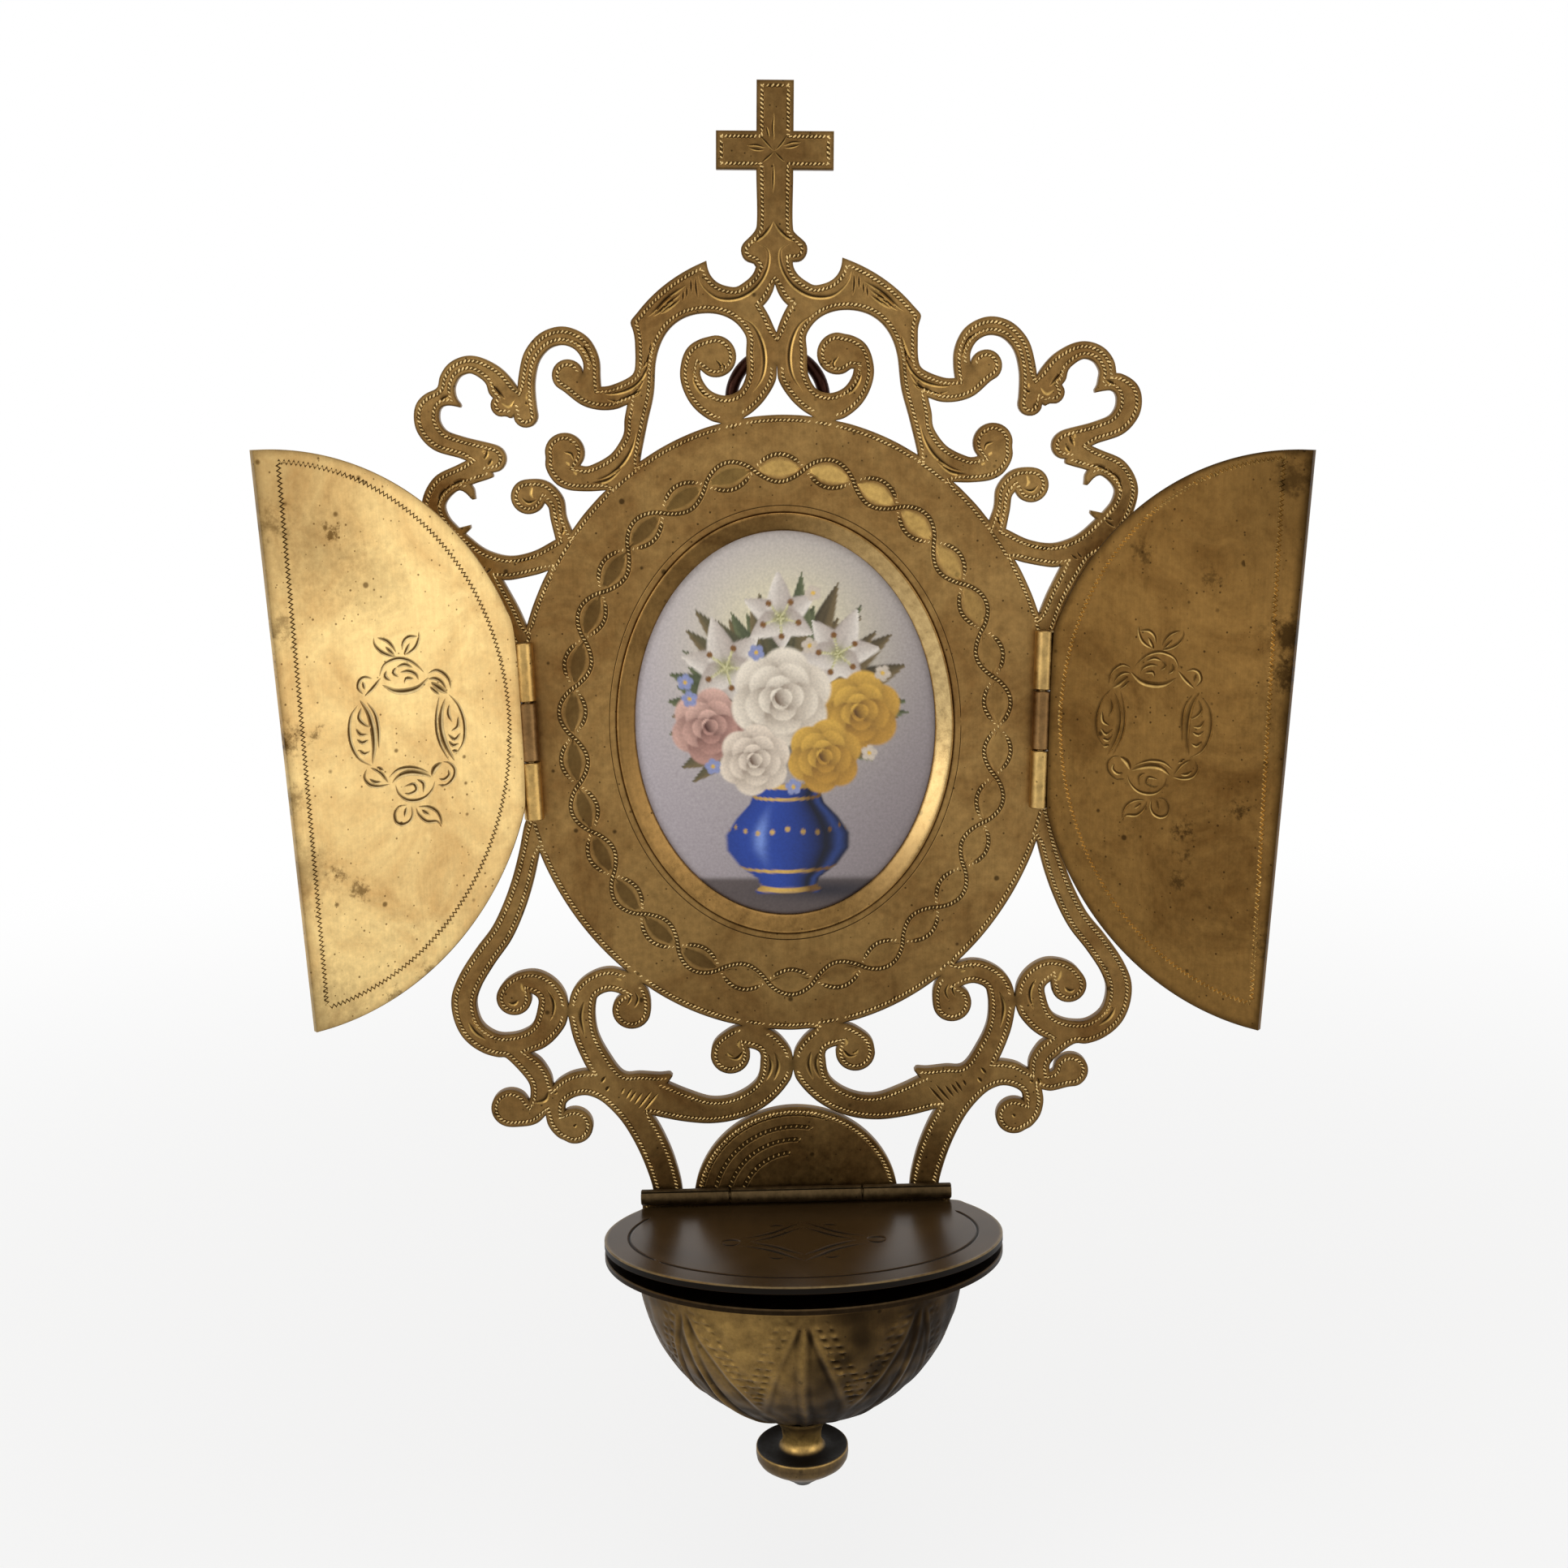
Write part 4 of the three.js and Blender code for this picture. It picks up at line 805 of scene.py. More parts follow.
# %% [markdown]
# On the plate the wheel went along every sawn edge and round the rim of the disc, over the chain of
# leaves, and in four arcs on the panel behind the font. Each row lies in a shallow groove, which holds
# the dirt that sets off the bright ticks, so the rows are cut first and the ticks follow.

# %% Roulette rows
ROW_INSET = 0.92
DISC_ROW_HALF = (47.05, 54.05)
PANEL_CENTRE = (0.0, -90.2)
PANEL_ARCS = ((17.7, 70), (15.2, 78), (12.7, 86), (10.2, 96))  # radius, and where it ends in degrees
PANEL_START = 176
EDGE_GROOVE = {"width": 0.82, "depth": 0.06, "tarnish": 0.54, "floor": 0.6}
ROPE_GROOVE = {"width": 1.05, "depth": 0.07, "tarnish": 0.62, "floor": 0.62}
# painted shade on the ticks just above the lid of the font
ROW_SHADE_BY_FONT = (((0, -6.3, -96), 4, 24, 0.62),)
# pressed ticks: rubbed bright all over, so no spots show, with painted shade near the font
ROW_BRASS = aged_brass("rouletted_brass", "#d0b47c", "#ab8a54", "#3a2813", "#ecd29a", rough=0.34,
                       specked=0.0, stains_and_shade=ROW_SHADE_BY_FONT)
# the same, darker, for the arcs on the panel just above the font: painted shade
SHADED_ROW_BRASS = aged_brass("shaded_roulette_brass", "#94784a", "#665029", "#20150a", "#b89a60", rough=0.38,
                            clouded=0.8, specked=0.0)
rows = [row for row in edge_rows(plate, ROW_INSET) if np.hypot(*(row / SCRIBED_HALF).T).max() > 1.02]
disc_edge = oval(DISC_ROW_HALF, DISC_CENTRE, 900)
rows += on_metal(plate, np.vstack([disc_edge, disc_edge[:1]]), ROW_INSET * 1.25)
panel_arcs = []
for radius, last in PANEL_ARCS:
    turn = np.linspace(math.radians(last), math.radians(PANEL_START), 90)
    arc = PANEL_CENTRE + radius * np.stack([np.cos(turn), np.sin(turn)], axis=1)
    panel_arcs += on_metal(plate, arc, ROW_INSET * 1.2)
for groove, grooved in ((EDGE_GROOVE, rows), (ROPE_GROOVE, chain_rows + panel_arcs)):
    for row in grooved:
        plate_lines += cut(plate, row, drawn=False, tapered=False, **groove)
backplate = engraved_sheet("engraved_backplate", plate, plate_lines, PLATE_BRASS, edge=(0.42, 0))
plate_ticks = roulette("plate_roulette_rows", plate, rows, EDGE_WHEEL, ROW_BRASS)
rope = roulette("chain_rope", plate, chain_rows, ROPE_WHEEL, ROW_BRASS)
panel_ticks = roulette("panel_arcs", plate, panel_arcs, PANEL_WHEEL, SHADED_ROW_BRASS)
for piece in (backplate, plate_ticks, rope, panel_ticks):
    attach(piece, "plate")
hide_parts("backplate")

# %% [markdown]
# The two doors are alike in make and metal. The left one has the brass painted lit, pale and warm, with a
# few stains, and the right one has the same brass painted in shade, brown and spotted along its free edge.
# So each has its own finish, with its own stains, and the largest soft patch on each door, at its upper
# outer part, is painted shade. A stain is a soft ball of grime around a place on the door, and the noise
# makes its edge ragged.

# %% Door finishes
# stains of the left door; the first and largest patch, at its upper outer part, is painted shade
LEFT_STAINS_AND_SHADE = (
    ((-86, -38, 44), 4, 34, 0.45), ((-81.5, -33.8, 4), 0.4, 3.6, 0.92), ((-77.4, -31, 4.2), 0.2, 2.2, 0.7),
    ((-81.4, -33.4, 39), 0.3, 4, 0.6), ((-80, -34, -18), 0.5, 7, 0.4), ((-62.4, -20.9, -40), 0.3, 3.4, 0.6),
    ((-81, -35, -44), 2, 14, 0.4), ((-72.6, -28.7, 36.6), 0.1, 1.7, 0.8), ((-74, -29.6, 34), 1, 10, 0.22),
    ((-67, -24.5, 28), 1, 9, 0.2), ((-72, -28.2, -22.5), 0.2, 2.2, 0.7),
    ((-75.4, -30.7, -19.5), 0.1, 1.8, 0.6), ((-68.4, -25.6, -42), 0.1, 1.9, 0.6),
    ((-80.8, -34.6, -6), 0.2, 3, 0.5), ((-81, -34.8, 22), 0.2, 3, 0.5))
# stains of the right door; the first and largest patch, at its upper outer part, is painted shade
RIGHT_STAINS_AND_SHADE = (
    ((86, -38, 44), 4, 34, 0.5), ((86, -38, 4), 2, 16, 0.5), ((81, -34.8, 17), 0.5, 4.2, 0.85),
    ((80.8, -34.6, 10.5), 0.3, 3.2, 0.8), ((67.1, -24.6, -16.8), 0.2, 2.2, 0.75),
    ((75.1, -30.6, -12), 0.2, 2, 0.7), ((66.8, -24.4, -21.4), 0.2, 1.8, 0.6),
    ((66.5, -24.2, -25.6), 0.2, 2, 0.6), ((60, -19.4, 30), 0.2, 2.2, 0.5), ((70.5, -27.1, 26), 0.2, 1.9, 0.5),
    ((80.6, -34.6, -34), 0.4, 4, 0.7), ((81, -34.8, 42), 0.4, 4, 0.7))
# the door brass painted lit: pale, warm and satin, clouded and specked
LEFT_DOOR_LIT_BRASS = aged_brass("door_brass_painted_lit", "#d2b57a", "#b4905a", "#4a3212", "#f6e0ac", rough=0.38,
                             clouded=0.7, specked=1.4, mottled=0.6, stains_and_shade=LEFT_STAINS_AND_SHADE)
# the same door brass painted in shade: an even brown, in which the cuts shine
RIGHT_DOOR_SHADED_BRASS = aged_brass("door_brass_painted_shade", "#75572d", "#583d1c", "#241708", "#d8b26a", rough=0.40,
                              specked=1.3, mottled=0.7, stains_and_shade=RIGHT_STAINS_AND_SHADE)
print("stains on the doors:", len(LEFT_STAINS_AND_SHADE), "and", len(RIGHT_STAINS_AND_SHADE))

# %% [markdown]
# In the middle of a door sits a cartouche of crescents, two bound ovals, buds and leaf pairs, all cut
# freehand, with a fine and a broad graver. Both doors share the drawing, turned over.

# %% The cartouche
CARTOUCHE_FINE = strokes("""
    -28,19.6 -28,18.6 -27,17.2 -25.2,16.2 -24.2,16; -27.4,19.5 -25.6,18.7 -24.6,17.5 -24.2,16.6;
    -26.1,17.9 -24.5,16.2; -19.8,19.8 -19.9,18.6 -20.6,17.2 -21.8,16.4 -22.8,16.1;
    -20,18.9 -21.8,19 -22.8,18.2 -23.1,16.9; -21.6,18 -22.9,15.9;
    -27.6,13 -26.6,14.8 -25,15.5 -23.6,15.6 -21.8,15 -20.2,13.7 -19.4,12.7;
    -26.2,13.9 -26.5,12.9 -25.5,12; -24.3,14.3 -25,13.4 -24.1,12.5; -24.4,14.2 -22.8,14.5 -21.4,13.8;
    -23.8,13.3 -22.2,13.3 -20.9,12.6 -20.5,11.6; -23.2,11.2 -22.8,12.1 -21.3,11.9;
    -30.7,10.4 -31.5,11.6 -31.1,12.8 -30.2,13.2 -28.8,12.8; -30.5,10 -28.8,11.3 -27.3,12.8;
    -30.6,12.6 -30.3,11.1; -18.8,12.5 -17.2,12.9 -15.8,12.2 -14.9,11 -14.7,9.4;
    -18.8,11.6 -17.4,11.5 -16.3,10.8 -15.5,9.4; -18.6,10.3 -16.9,8.7;
    -31.8,8.8 -33.2,7 -33.7,4.4 -33.4,2 -32.3,-0.2 -30.2,-1.7; -30.2,9.1 -28.9,7 -28.5,4.5 -28.7,1;
    -31.2,8.3 -31.8,6.6 -30.9,5.4 -29.9,4.8; -32.5,5 -31.7,3.8 -30.4,3.7; -32.5,3.2 -31.5,2.4 -30.4,2.8;
    -32.3,1.4 -31.2,0.5 -30.3,0.9; -15.2,8.6 -13.6,6.6 -12.7,4 -12.7,1.5 -13.2,-0.2 -14.8,-2;
    -17,8.4 -17.7,5.6 -17.9,2.8 -17.4,0.2 -16.1,-2.7; -15.2,6.9 -15.5,5.2 -14.9,3.7;
    -13.7,4.6 -14,2.8 -15.3,2.2; -13.5,1.7 -14.6,0.7 -15.9,1.8; -13.9,-0.1 -15,-0.3 -15.9,0.7;
    -14.1,-1.5 -15.4,-1.1; -31.2,-2 -31.7,-3.4 -30.9,-4.7 -29.2,-5.3 -27.2,-5.2;
    -30.5,-1.9 -28.8,-3 -27.5,-4.9; -29.4,-1.9 -28.1,-2.8; -30.9,-3.7 -29.8,-4.5 -28.7,-4.6;
    -27.4,-4.1 -25.6,-3 -23.4,-2.9 -21.4,-3.5 -20,-4.3;
    -26.3,-5.4 -25.8,-7 -24.4,-8.3 -22.6,-8.7 -20.8,-8.3 -19.4,-7 -19,-5.8;
    -24.8,-6 -22.8,-5.9 -22.5,-6.9 -23.8,-7.4 -24.8,-7.1; -22.3,-5.1 -21.1,-6 -21.3,-7.6;
    -17.3,-2.8 -16,-3.2 -15.1,-4.4 -15.4,-5.8 -16.9,-6.9 -18.6,-6.6;
    -16.4,-4.2 -16.2,-5.2 -17.2,-5.9 -18.2,-5.6; -22.9,-9.8 -22.4,-11.2 -21,-12.6 -19,-13 -18.3,-14.2;
    -22.5,-9.8 -20.4,-10.2 -19,-11.2 -18.4,-12.6 -18.4,-14; -21.9,-10.4 -20.4,-11.6;
    -24.4,-9.2 -26,-9.3 -26.8,-10.3 -26.6,-11.8 -25.4,-12.4 -24.2,-12 -23.6,-11 -23.7,-9.4;
    -24.6,-9.5 -25.1,-11.2""")
CARTOUCHE_BOLD = strokes("""
    -27.2,11.6 -25,10.3 -22.8,10 -20.6,10.4 -18.6,11.9; -18.3,11 -15.4,8.7;
    -31.4,9.6 -30.1,7.3 -29.5,4.5 -29.5,1.5 -30.1,-1.4; -15.9,8 -16.8,5.6 -17.1,3 -16.5,0.2 -15,-3;
    -26.9,-5.1 -25.2,-4 -23.2,-3.8 -21,-4.4 -19.6,-5.1; -19.5,-5 -18.8,-3.7 -17.4,-2.9""")
GRAVERS = ((CARTOUCHE_FINE, 0.72, 0.17), (CARTOUCHE_BOLD, 1.15, 0.24))  # with width and depth of the cut
print("strokes of a cartouche:", len(CARTOUCHE_FINE), "fine and", len(CARTOUCHE_BOLD), "broad")

# %% [markdown]
# A door is half an oval of thicker sheet. Its border is a wriggle, the zigzag that an engraver gets by
# rocking a flat tool as it goes. The cuts are dark on the pale door and bright on the brown one.

# %% Doors
DOOR_OPEN = math.radians(143.5)
HINGE_PLACE = (45.0, -8.25)
FREE_EDGE = 44.75
BORDER_HALF = (40.8, 45.1)
BORDER_INSET = 3.0
WRIGGLE_PITCH = 0.8
WRIGGLE_SWING = 0.32
WRIGGLE_CUT = {"width": 0.44, "depth": 0.12}
DOOR_BAND = 1.7  # how far the browned edge of a door reaches in
Door = namedtuple("Door", "side hand lean lift shift brass cuts flank border edge")
DOORS = (  # lean of the hinge, height of the oval's middle, shift of the cartouche, finish (lit on the left door and in shade on the right), dirt and shine
    Door(-1, "left", 1.1, 3.9, (0, 0), LEFT_DOOR_LIT_BRASS, 0.95, 0.5, (1.0, 0.0), (0.36, 0)),
    Door(1, "right", 2.0, 1.4, (1.8, -1.8), RIGHT_DOOR_SHADED_BRASS, 0.6, 0.95, (0.0, 1.0), (0.52, 0)))


def hinge_axis(door):
    """The way up along a door's hinge, which leans a little."""
    lean = math.radians(door.lean)
    return door.side * math.sin(lean), 0, math.cos(lean)


def wriggle(line):
    """A zigzag along a line."""
    reach = reach_along(line)
    along = np.arange(0, reach[-1], WRIGGLE_PITCH / 2)
    path = np.stack([np.interp(along, reach, line[:, k]) for k in (0, 1)], axis=1)
    way = np.where(np.arange(len(path)) % 2, WRIGGLE_SWING, -WRIGGLE_SWING)[:, None]
    return path + way * leftward(unit(np.gradient(path, axis=0)))


def door_border(door):
    """The half oval and the straight run of a door's border, as one closed line."""
    turn = np.linspace(-1, 1, 300) * math.acos(BORDER_INSET / BORDER_HALF[0])
    across, up = FREE_EDGE - BORDER_HALF[0] * np.cos(turn), door.lift + BORDER_HALF[1] * np.sin(turn)
    bow = np.stack([across, up], axis=1)
    straight = np.linspace(bow[-1], bow[0], 200)
    return np.vstack([bow, straight]) * (door.side, 1)


for door in DOORS:
    facing = (-door.side * math.sin(DOOR_OPEN), math.cos(DOOR_OPEN), 0)
    foot = (door.side * HINGE_PLACE[0], HINGE_PLACE[1], 0)
    sheet = read_sheet(f"{door.hand}_door", facing, hinge_axis(door), foot)
    lines = []
    for drawing, width, depth in GRAVERS:
        for stroke in drawing:
            placed = [(-door.side * (u + door.shift[0]), v + door.shift[1]) for u, v in stroke]
            lines += cut(sheet, placed, width, depth, door.cuts, flank=door.flank)
    tarnish, polish = door.border
    lines += cut(sheet, wriggle(door_border(door)), tarnish=tarnish, polish=polish, drawn=False,
                 tapered=False, **WRIGGLE_CUT)
    leaf = engraved_sheet(f"{door.hand}_door_leaf", sheet, lines, door.brass, edge=door.edge, band=DOOR_BAND)
    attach(leaf, f"{door.hand}_door")
    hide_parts(f"{door.hand}_door")

# %% [markdown]
# The lid of the font is the same kind of sheet under a dark lacquer that has gone brown. It has a scribed
# border along its round edge, a drawn-out diamond with curled ends, and an edge worn back to metal.
# The flange below it is plain. Both pick up the plate behind them as a soft reflection, and the sawn
# walls of both are darkened with painted shade.

# %% Lid and flange
LID_HINGE_Y = -8.1
LID_LEVEL, FLANGE_LEVEL = -87.3, -90.6
LID_MIDDLE = (1.1, -19.0)
LID_BORDER = 4.4
LID_QUARTER = strokes("""
    -11.4,1.7 -8.6,2.6 -5.4,4.4 -2.6,7 0,9.4; -9.4,0 -5.2,2.4 -2.2,4.9 0,6.6;
    -11,0.3 -12.2,1.2 -13.6,1.1 -14.4,0; -3.2,7.6 -4.8,7.9 -6.2,7.2""")
# lacquer over sheet: smooth and almost black, with a soft gloss and little grain
LACQUERED = aged_brass("brown_lacquered_brass", "#46341e", "#382814", "#090603", "#9a835a", rough=0.26,
                       clouded=0.6, specked=0.1, relief=0.03, mottled=0.1, metallic=0.45)
LACQUERED.node_tree.nodes["Principled BSDF"].inputs["Specular IOR Level"].default_value = 0.14
# dark bronze, worn at the rim
EDGE_WORN = aged_brass("worn_flange_bronze", "#3a2c1c", "#2a1f12", "#0c0805", "#6a563a", rough=0.34,
                       specked=0.3)
lid = read_sheet("font_lid", (0, 0, 1), (0, 1, 0), (0, LID_HINGE_Y, LID_LEVEL))
lines = []
for row in edge_rows(lid, LID_BORDER):
    for run in np.split(row, np.nonzero(row[:, 1] > -LID_BORDER - 1)[0]):  # the hinge side stays plain
        if len(run) > 8:
            lines += cut(lid, run[1:], width=0.75, depth=0.15, tarnish=1.0, drawn=False, tapered=False)
for stroke in flipped(LID_QUARTER, [(1, 1), (-1, 1), (1, -1), (-1, -1)]):
    placed = [(u + LID_MIDDLE[0], v + LID_MIDDLE[1]) for u, v in stroke]
    lines += cut(lid, placed, width=1.15, depth=0.2, tarnish=1.0, flank=0.3)
# the lid's sawn wall is painted dark: painted shade under its edge
lid_sheet = engraved_sheet("lacquered_lid", lid, lines, LACQUERED, edge=(0, 0.5), band=0.5, wall_shade=(1.0, 0))
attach(lid_sheet, "font_lid")
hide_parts("font_lid")
flange = read_sheet("bowl_flange", (0, 0, 1), (0, 1, 0), (0, LID_HINGE_Y, FLANGE_LEVEL))
# the flange's sawn wall gets painted shade as well
flange_sheet = engraved_sheet("font_flange", flange, [], EDGE_WORN, edge=(0.1, 0.2), wall_shade=(0.5, 0))
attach(flange_sheet, "plate")
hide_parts("bowl_flange")

# %% [markdown]
# The rest of the stoup is turned, spun or rolled, so its pieces are stacks of rings. One helper joins ring
# to ring. A ring may be any closed line of points, so the same helper makes the oval bezel, the domed
# plaque, the font, the finial and the hinge barrels.

# %% Rings
def ring_stack(name, rings, material, values=None, looped=False, sharp=30):
    """Joins rings of equal count into a skin. A looped stack closes on its first ring."""
    count = len(rings[0])
    i = np.arange(count)
    j = (i + 1) % count
    faces = []
    for k in range(len(rings) if looped else len(rings) - 1):
        a, b = k * count, (k + 1) % len(rings) * count
        faces.append(np.stack([i + a, j + a, j + b, i + b], axis=1))
    piece = mesh_piece(name, np.vstack(rings) * MM, np.vstack(faces), material, values, sharp)
    skin = bmesh.new()
    skin.from_mesh(piece.data)
    bmesh.ops.recalc_face_normals(skin, faces=skin.faces)
    skin.to_mesh(piece.data)
    skin.free()
    print(name, "has", len(piece.data.polygons), "faces")
    return piece


def upright_oval(half, centre, y, count):
    """A ring that faces the viewer: an oval in x and z at one depth."""
    return np.insert(oval(half, centre, count), 1, y, axis=1)


print("an upright oval of 8 points:", upright_oval((2, 3), 0, 0, 8).shape)

# %% [markdown]
# The bezel holds the plaque as a frame holds a picture. Such a ring can be spun over a wooden form, so one
# profile goes all the way round: a sloped face towards the picture, a rounded crest and a foot behind. Its
# slope gets a painted highlight on the right and painted shade at the upper left and low down.

# %% Bezel
BEZEL_SPOKES = 240
SIGHT_HALF = (26.55, 34.4)
# spun and burnished: smoother than the plate, with fewer clouds
BEZEL_BRASS = aged_brass("spun_bezel_brass", "#8d6c3d", "#6b4d29", "#2a1c0d", "#d9bd84", rough=0.28,
                         clouded=0.35, specked=0.4)
BEZEL_PROFILE = [  # distance out from the sight, and depth
    (3.18, -4.48), (3.18, -6.45), (3.08, -6.58), (2.92, -6.62), (2.7, -6.56), (2.2, -6.34), (1.5, -6.0),
    (0.8, -5.66), (0.3, -5.38), (0.08, -5.22), (0.0, -5.08), (0.0, -4.42), (1.62, -4.42), (1.62, -0.85),
    (2.5, -0.85), (2.5, -3.5), (5.75, -3.5), (5.75, -4.48),
]
rings = [upright_oval((SIGHT_HALF[0] + r, SIGHT_HALF[1] + r), SIGHT_CENTRE, y, BEZEL_SPOKES)
         for r, y in BEZEL_PROFILE]
around = full_turn(BEZEL_SPOKES)
# painted highlight on the right of the slope, painted shade at the upper left and low down
bezel_highlight = np.clip(np.cos(around - 0.2), 0, 1) ** 2
bezel_shade = np.clip(np.cos(around - math.radians(140)) + 0.2, 0, 1)
bezel_shade = bezel_shade + np.clip(np.cos(around + math.radians(68)), 0, 1) ** 2
slope = np.array([1.0 if 0 < r < 2.9 and y < -5 else 0.0 for r, y in BEZEL_PROFILE])
values = {"tarnish": np.outer(slope, 0.42 * bezel_shade).ravel(), "polish": np.outer(slope, 0.75 * bezel_highlight).ravel()}
bezel = ring_stack("spun_bezel", rings, BEZEL_BRASS, values, looped=True, sharp=40)
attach(bezel, "plate")
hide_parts("bezel_ring")

# %% [markdown]
# The plaque is a domed oval of porcelain, painted over the glaze and fired again. The picture here is a
# garden bouquet in a blue vase on a grey-lilac ground with a warm glow. It is painted by formulas on the
# points of a fine mesh, so the canvas comes first: rings from the edge to the crown of the dome.

# %% The canvas
PLAQUE_HALF = np.array([28.15, 36.0])
PLAQUE_RINGS = 118
PLAQUE_SPOKES = 460
PLAQUE_EDGE = -4.2
PLAQUE_CROWN = 0.9
plaque_rings = []
for step in np.linspace(0, 1, PLAQUE_RINGS)[::-1]:
    y = PLAQUE_EDGE - PLAQUE_CROWN * (1 - step**2)
    plaque_rings.append(upright_oval(PLAQUE_HALF * step, SIGHT_CENTRE, y, PLAQUE_SPOKES))
canvas = np.vstack(plaque_rings)[:, [0, 2]] - (0, SIGHT_CENTRE)
across, height = canvas.T
print("canvas points:", len(canvas))

# %% [markdown]
# Paint is a colour and a mask that says where it covers, and later paint covers earlier paint. The masks
# are soft steps, ridges and spots, worked out for all points at once. Colours are mixed in linear light,
# as real light mixes.

# %% Paint and masks
def paint(*codes):
    """Colours for the painter, in linear light."""
    return [np.array(linear(code)[:3]) for code in codes]


def between(first, second, share):
    """A mix of two colours, with a share of the second that may differ at each point."""
    return first + np.multiply.outer(share, second - first)


def soft_step(low, high, value):
    """0 below, 1 above and a smooth ramp between."""
    t = np.clip((value - low) / (high - low), 0, 1)
    return t * t * (3 - 2 * t)


def ridge(value, width):
    """A rounded ridge along the zero of a value."""
    return np.exp(-((value / width) ** 2))


def glow(centre, half):
    """A soft oval spot."""
    return np.exp(-(((canvas - centre) / half) ** 2).sum(axis=1))


def dot(centre, outer, inner):
    """A round spot with a soft edge."""
    return soft_step(outer, inner, np.hypot(*(canvas - centre).T))


def lay(picture, mask, colour):
    """Covers the picture with a colour where the mask says."""
    return picture + np.clip(mask, 0, 1)[:, None] * (colour - picture)


print("a dot 2 mm across covers", int((dot((0, 0), 1.1, 0.9) > 0.5).sum()), "points")

# %% [markdown]
# A china painter has a stroke for each form. A petal or leaf is a pointed oval with a light and a shaded
# side and a vein, and a thread follows a line and is rounded across.

# %% Painter's strokes
def petal(picture, base, tip, width, light, shade, lit, rib=0.25):
    """A pointed oval from base to tip, light on one side and shaded on the other."""
    axis = np.array(tip, float) - base
    length = np.linalg.norm(axis)
    axis /= length
    from_base = canvas - base
    t = np.clip(from_base @ axis / length, 0, 1)
    side = from_base @ np.array([-axis[1], axis[0]])
    half = width / 2 * np.sin(math.pi * t**0.5) ** 0.8 + 1e-6
    beyond = np.abs(from_base @ axis - t * length)
    mask = soft_step(1.1, 0.82, np.abs(side / half)) * soft_step(0.3, 0.0, beyond) * (half > 0.05)
    tone = np.clip(0.5 + 0.4 * lit * side / half + 0.25 * (t - 0.5), 0, 1)
    vein = ridge(side, 0.28) * rib * (1 - t)
    return lay(lay(picture, mask, between(shade, light, tone)), mask * vein, shade * 0.6)


def brush(picture, points, width, light, shade):
    """A stroke along a line, rounded across, a little slimmer at its ends."""
    line = hand_line(points, 0.5)
    gap = np.linalg.norm(canvas[:, None, :] - line[None], axis=2)
    nearest = gap.argmin(axis=1)
    heading = unit(np.gradient(line, axis=0))[nearest]
    away = canvas - line[nearest]
    half = width / 2 * (0.9 + 0.1 * np.sin(math.pi * nearest / (len(line) - 1))) + 1e-6
    s = (heading[:, 0] * away[:, 1] - heading[:, 1] * away[:, 0]) / half
    fold = np.clip(0.5 + 0.3 * s + 0.22 * np.cos(5.5 * s), 0, 1)
    return lay(picture, soft_step(1.12, 0.84, gap.min(axis=1) / half), between(shade, light, fold))


blank = np.zeros((len(canvas), 3))
trial = petal(blank, (0, 0), (0, 5), 2, *paint("#ffffff", "#808080"), lit=1)
print("a petal of 5 mm covers", int(trial.any(axis=1).sum()), "points")

# %% [markdown]
# Flowers are made of these strokes. A rose is four whorls of round petals, each turned a little against
# the last, and a lily has six pointed petals with threads from its throat.

# %% Flowers
def rose(picture, centre, radius, light, mid, deep):
    """Outer petals, then a whorl of smaller ones that turns about the heart."""
    whorls = ((0.62, 0.95, 6), (0.42, 0.74, 5), (0.22, 0.52, 4), (0.06, 0.34, 3))  # reach, size and count
    for ring, (reach, size, count) in enumerate(whorls):
        for k in range(count):
            turn = 2 * math.pi * k / count + 0.7 * ring + 0.35
            way = np.array([math.cos(turn), math.sin(turn)])
            away = canvas - (np.array(centre) + way * reach * radius)
            half = size * radius * 0.62
            along = np.clip(0.5 + 0.62 * (away @ way) / half, 0, 1)
            edge = between(mid, light, 0.35 + 0.65 * (0.5 + 0.5 * np.clip(way @ LIGHT_FROM, -1, 1)))
            gap = np.linalg.norm(away, axis=1) / half
            picture = lay(picture, soft_step(1.06, 0.9, gap), between(deep, edge, along))
    return picture


def lily(picture, centre, reach, turn, light, shade):
    """Six pointed petals, the back three first, with a green throat and amber anthers."""
    throat, thread_light, thread_shade, anther = paint("#8a8a4a", "#dfd9b0", "#a9a36c", "#7d5428")
    centre = np.array(centre)
    for k in (1, 3, 5, 0, 2, 4):
        a = math.radians(turn + 60 * k)
        long = reach * (0.92 if k % 2 else 1.06) * (1.0 if math.sin(a) > -0.3 else 0.78)
        tip = centre + long * np.array([math.cos(a), math.sin(a)])
        lit = 0.8 if math.cos(a) < 0.3 else -0.8
        picture = petal(picture, centre, tip, reach * 0.62, light, shade, lit)
    picture = lay(picture, ridge(np.hypot(*(canvas - centre).T), reach * 0.17), throat)
    for k in range(5):
        a = math.radians(turn + 36 + 72 * k)
        end = centre + 0.42 * reach * np.array([math.cos(a), math.sin(a)])
        picture = brush(picture, [centre, end], 0.55, thread_light, thread_shade)
        picture = lay(picture, dot(end, 0.7, 0.4), anther)
    return picture


trial = rose(blank, (0, 0), 5, *paint("#ffffff", "#c0c0c0", "#808080"))
print("a rose of 10 mm covers", int(trial.any(axis=1).sum()), "points")

# %% [markdown]
# A painter works from the back to the front, and so does this cell: first the ground with its glow and
# the shadow of the vase on a ledge, then the spray of leaves, with a fixed seed so that it is the same on
# every run, and then the vase, which is shaded as a turned shape with gilt lines and dots.

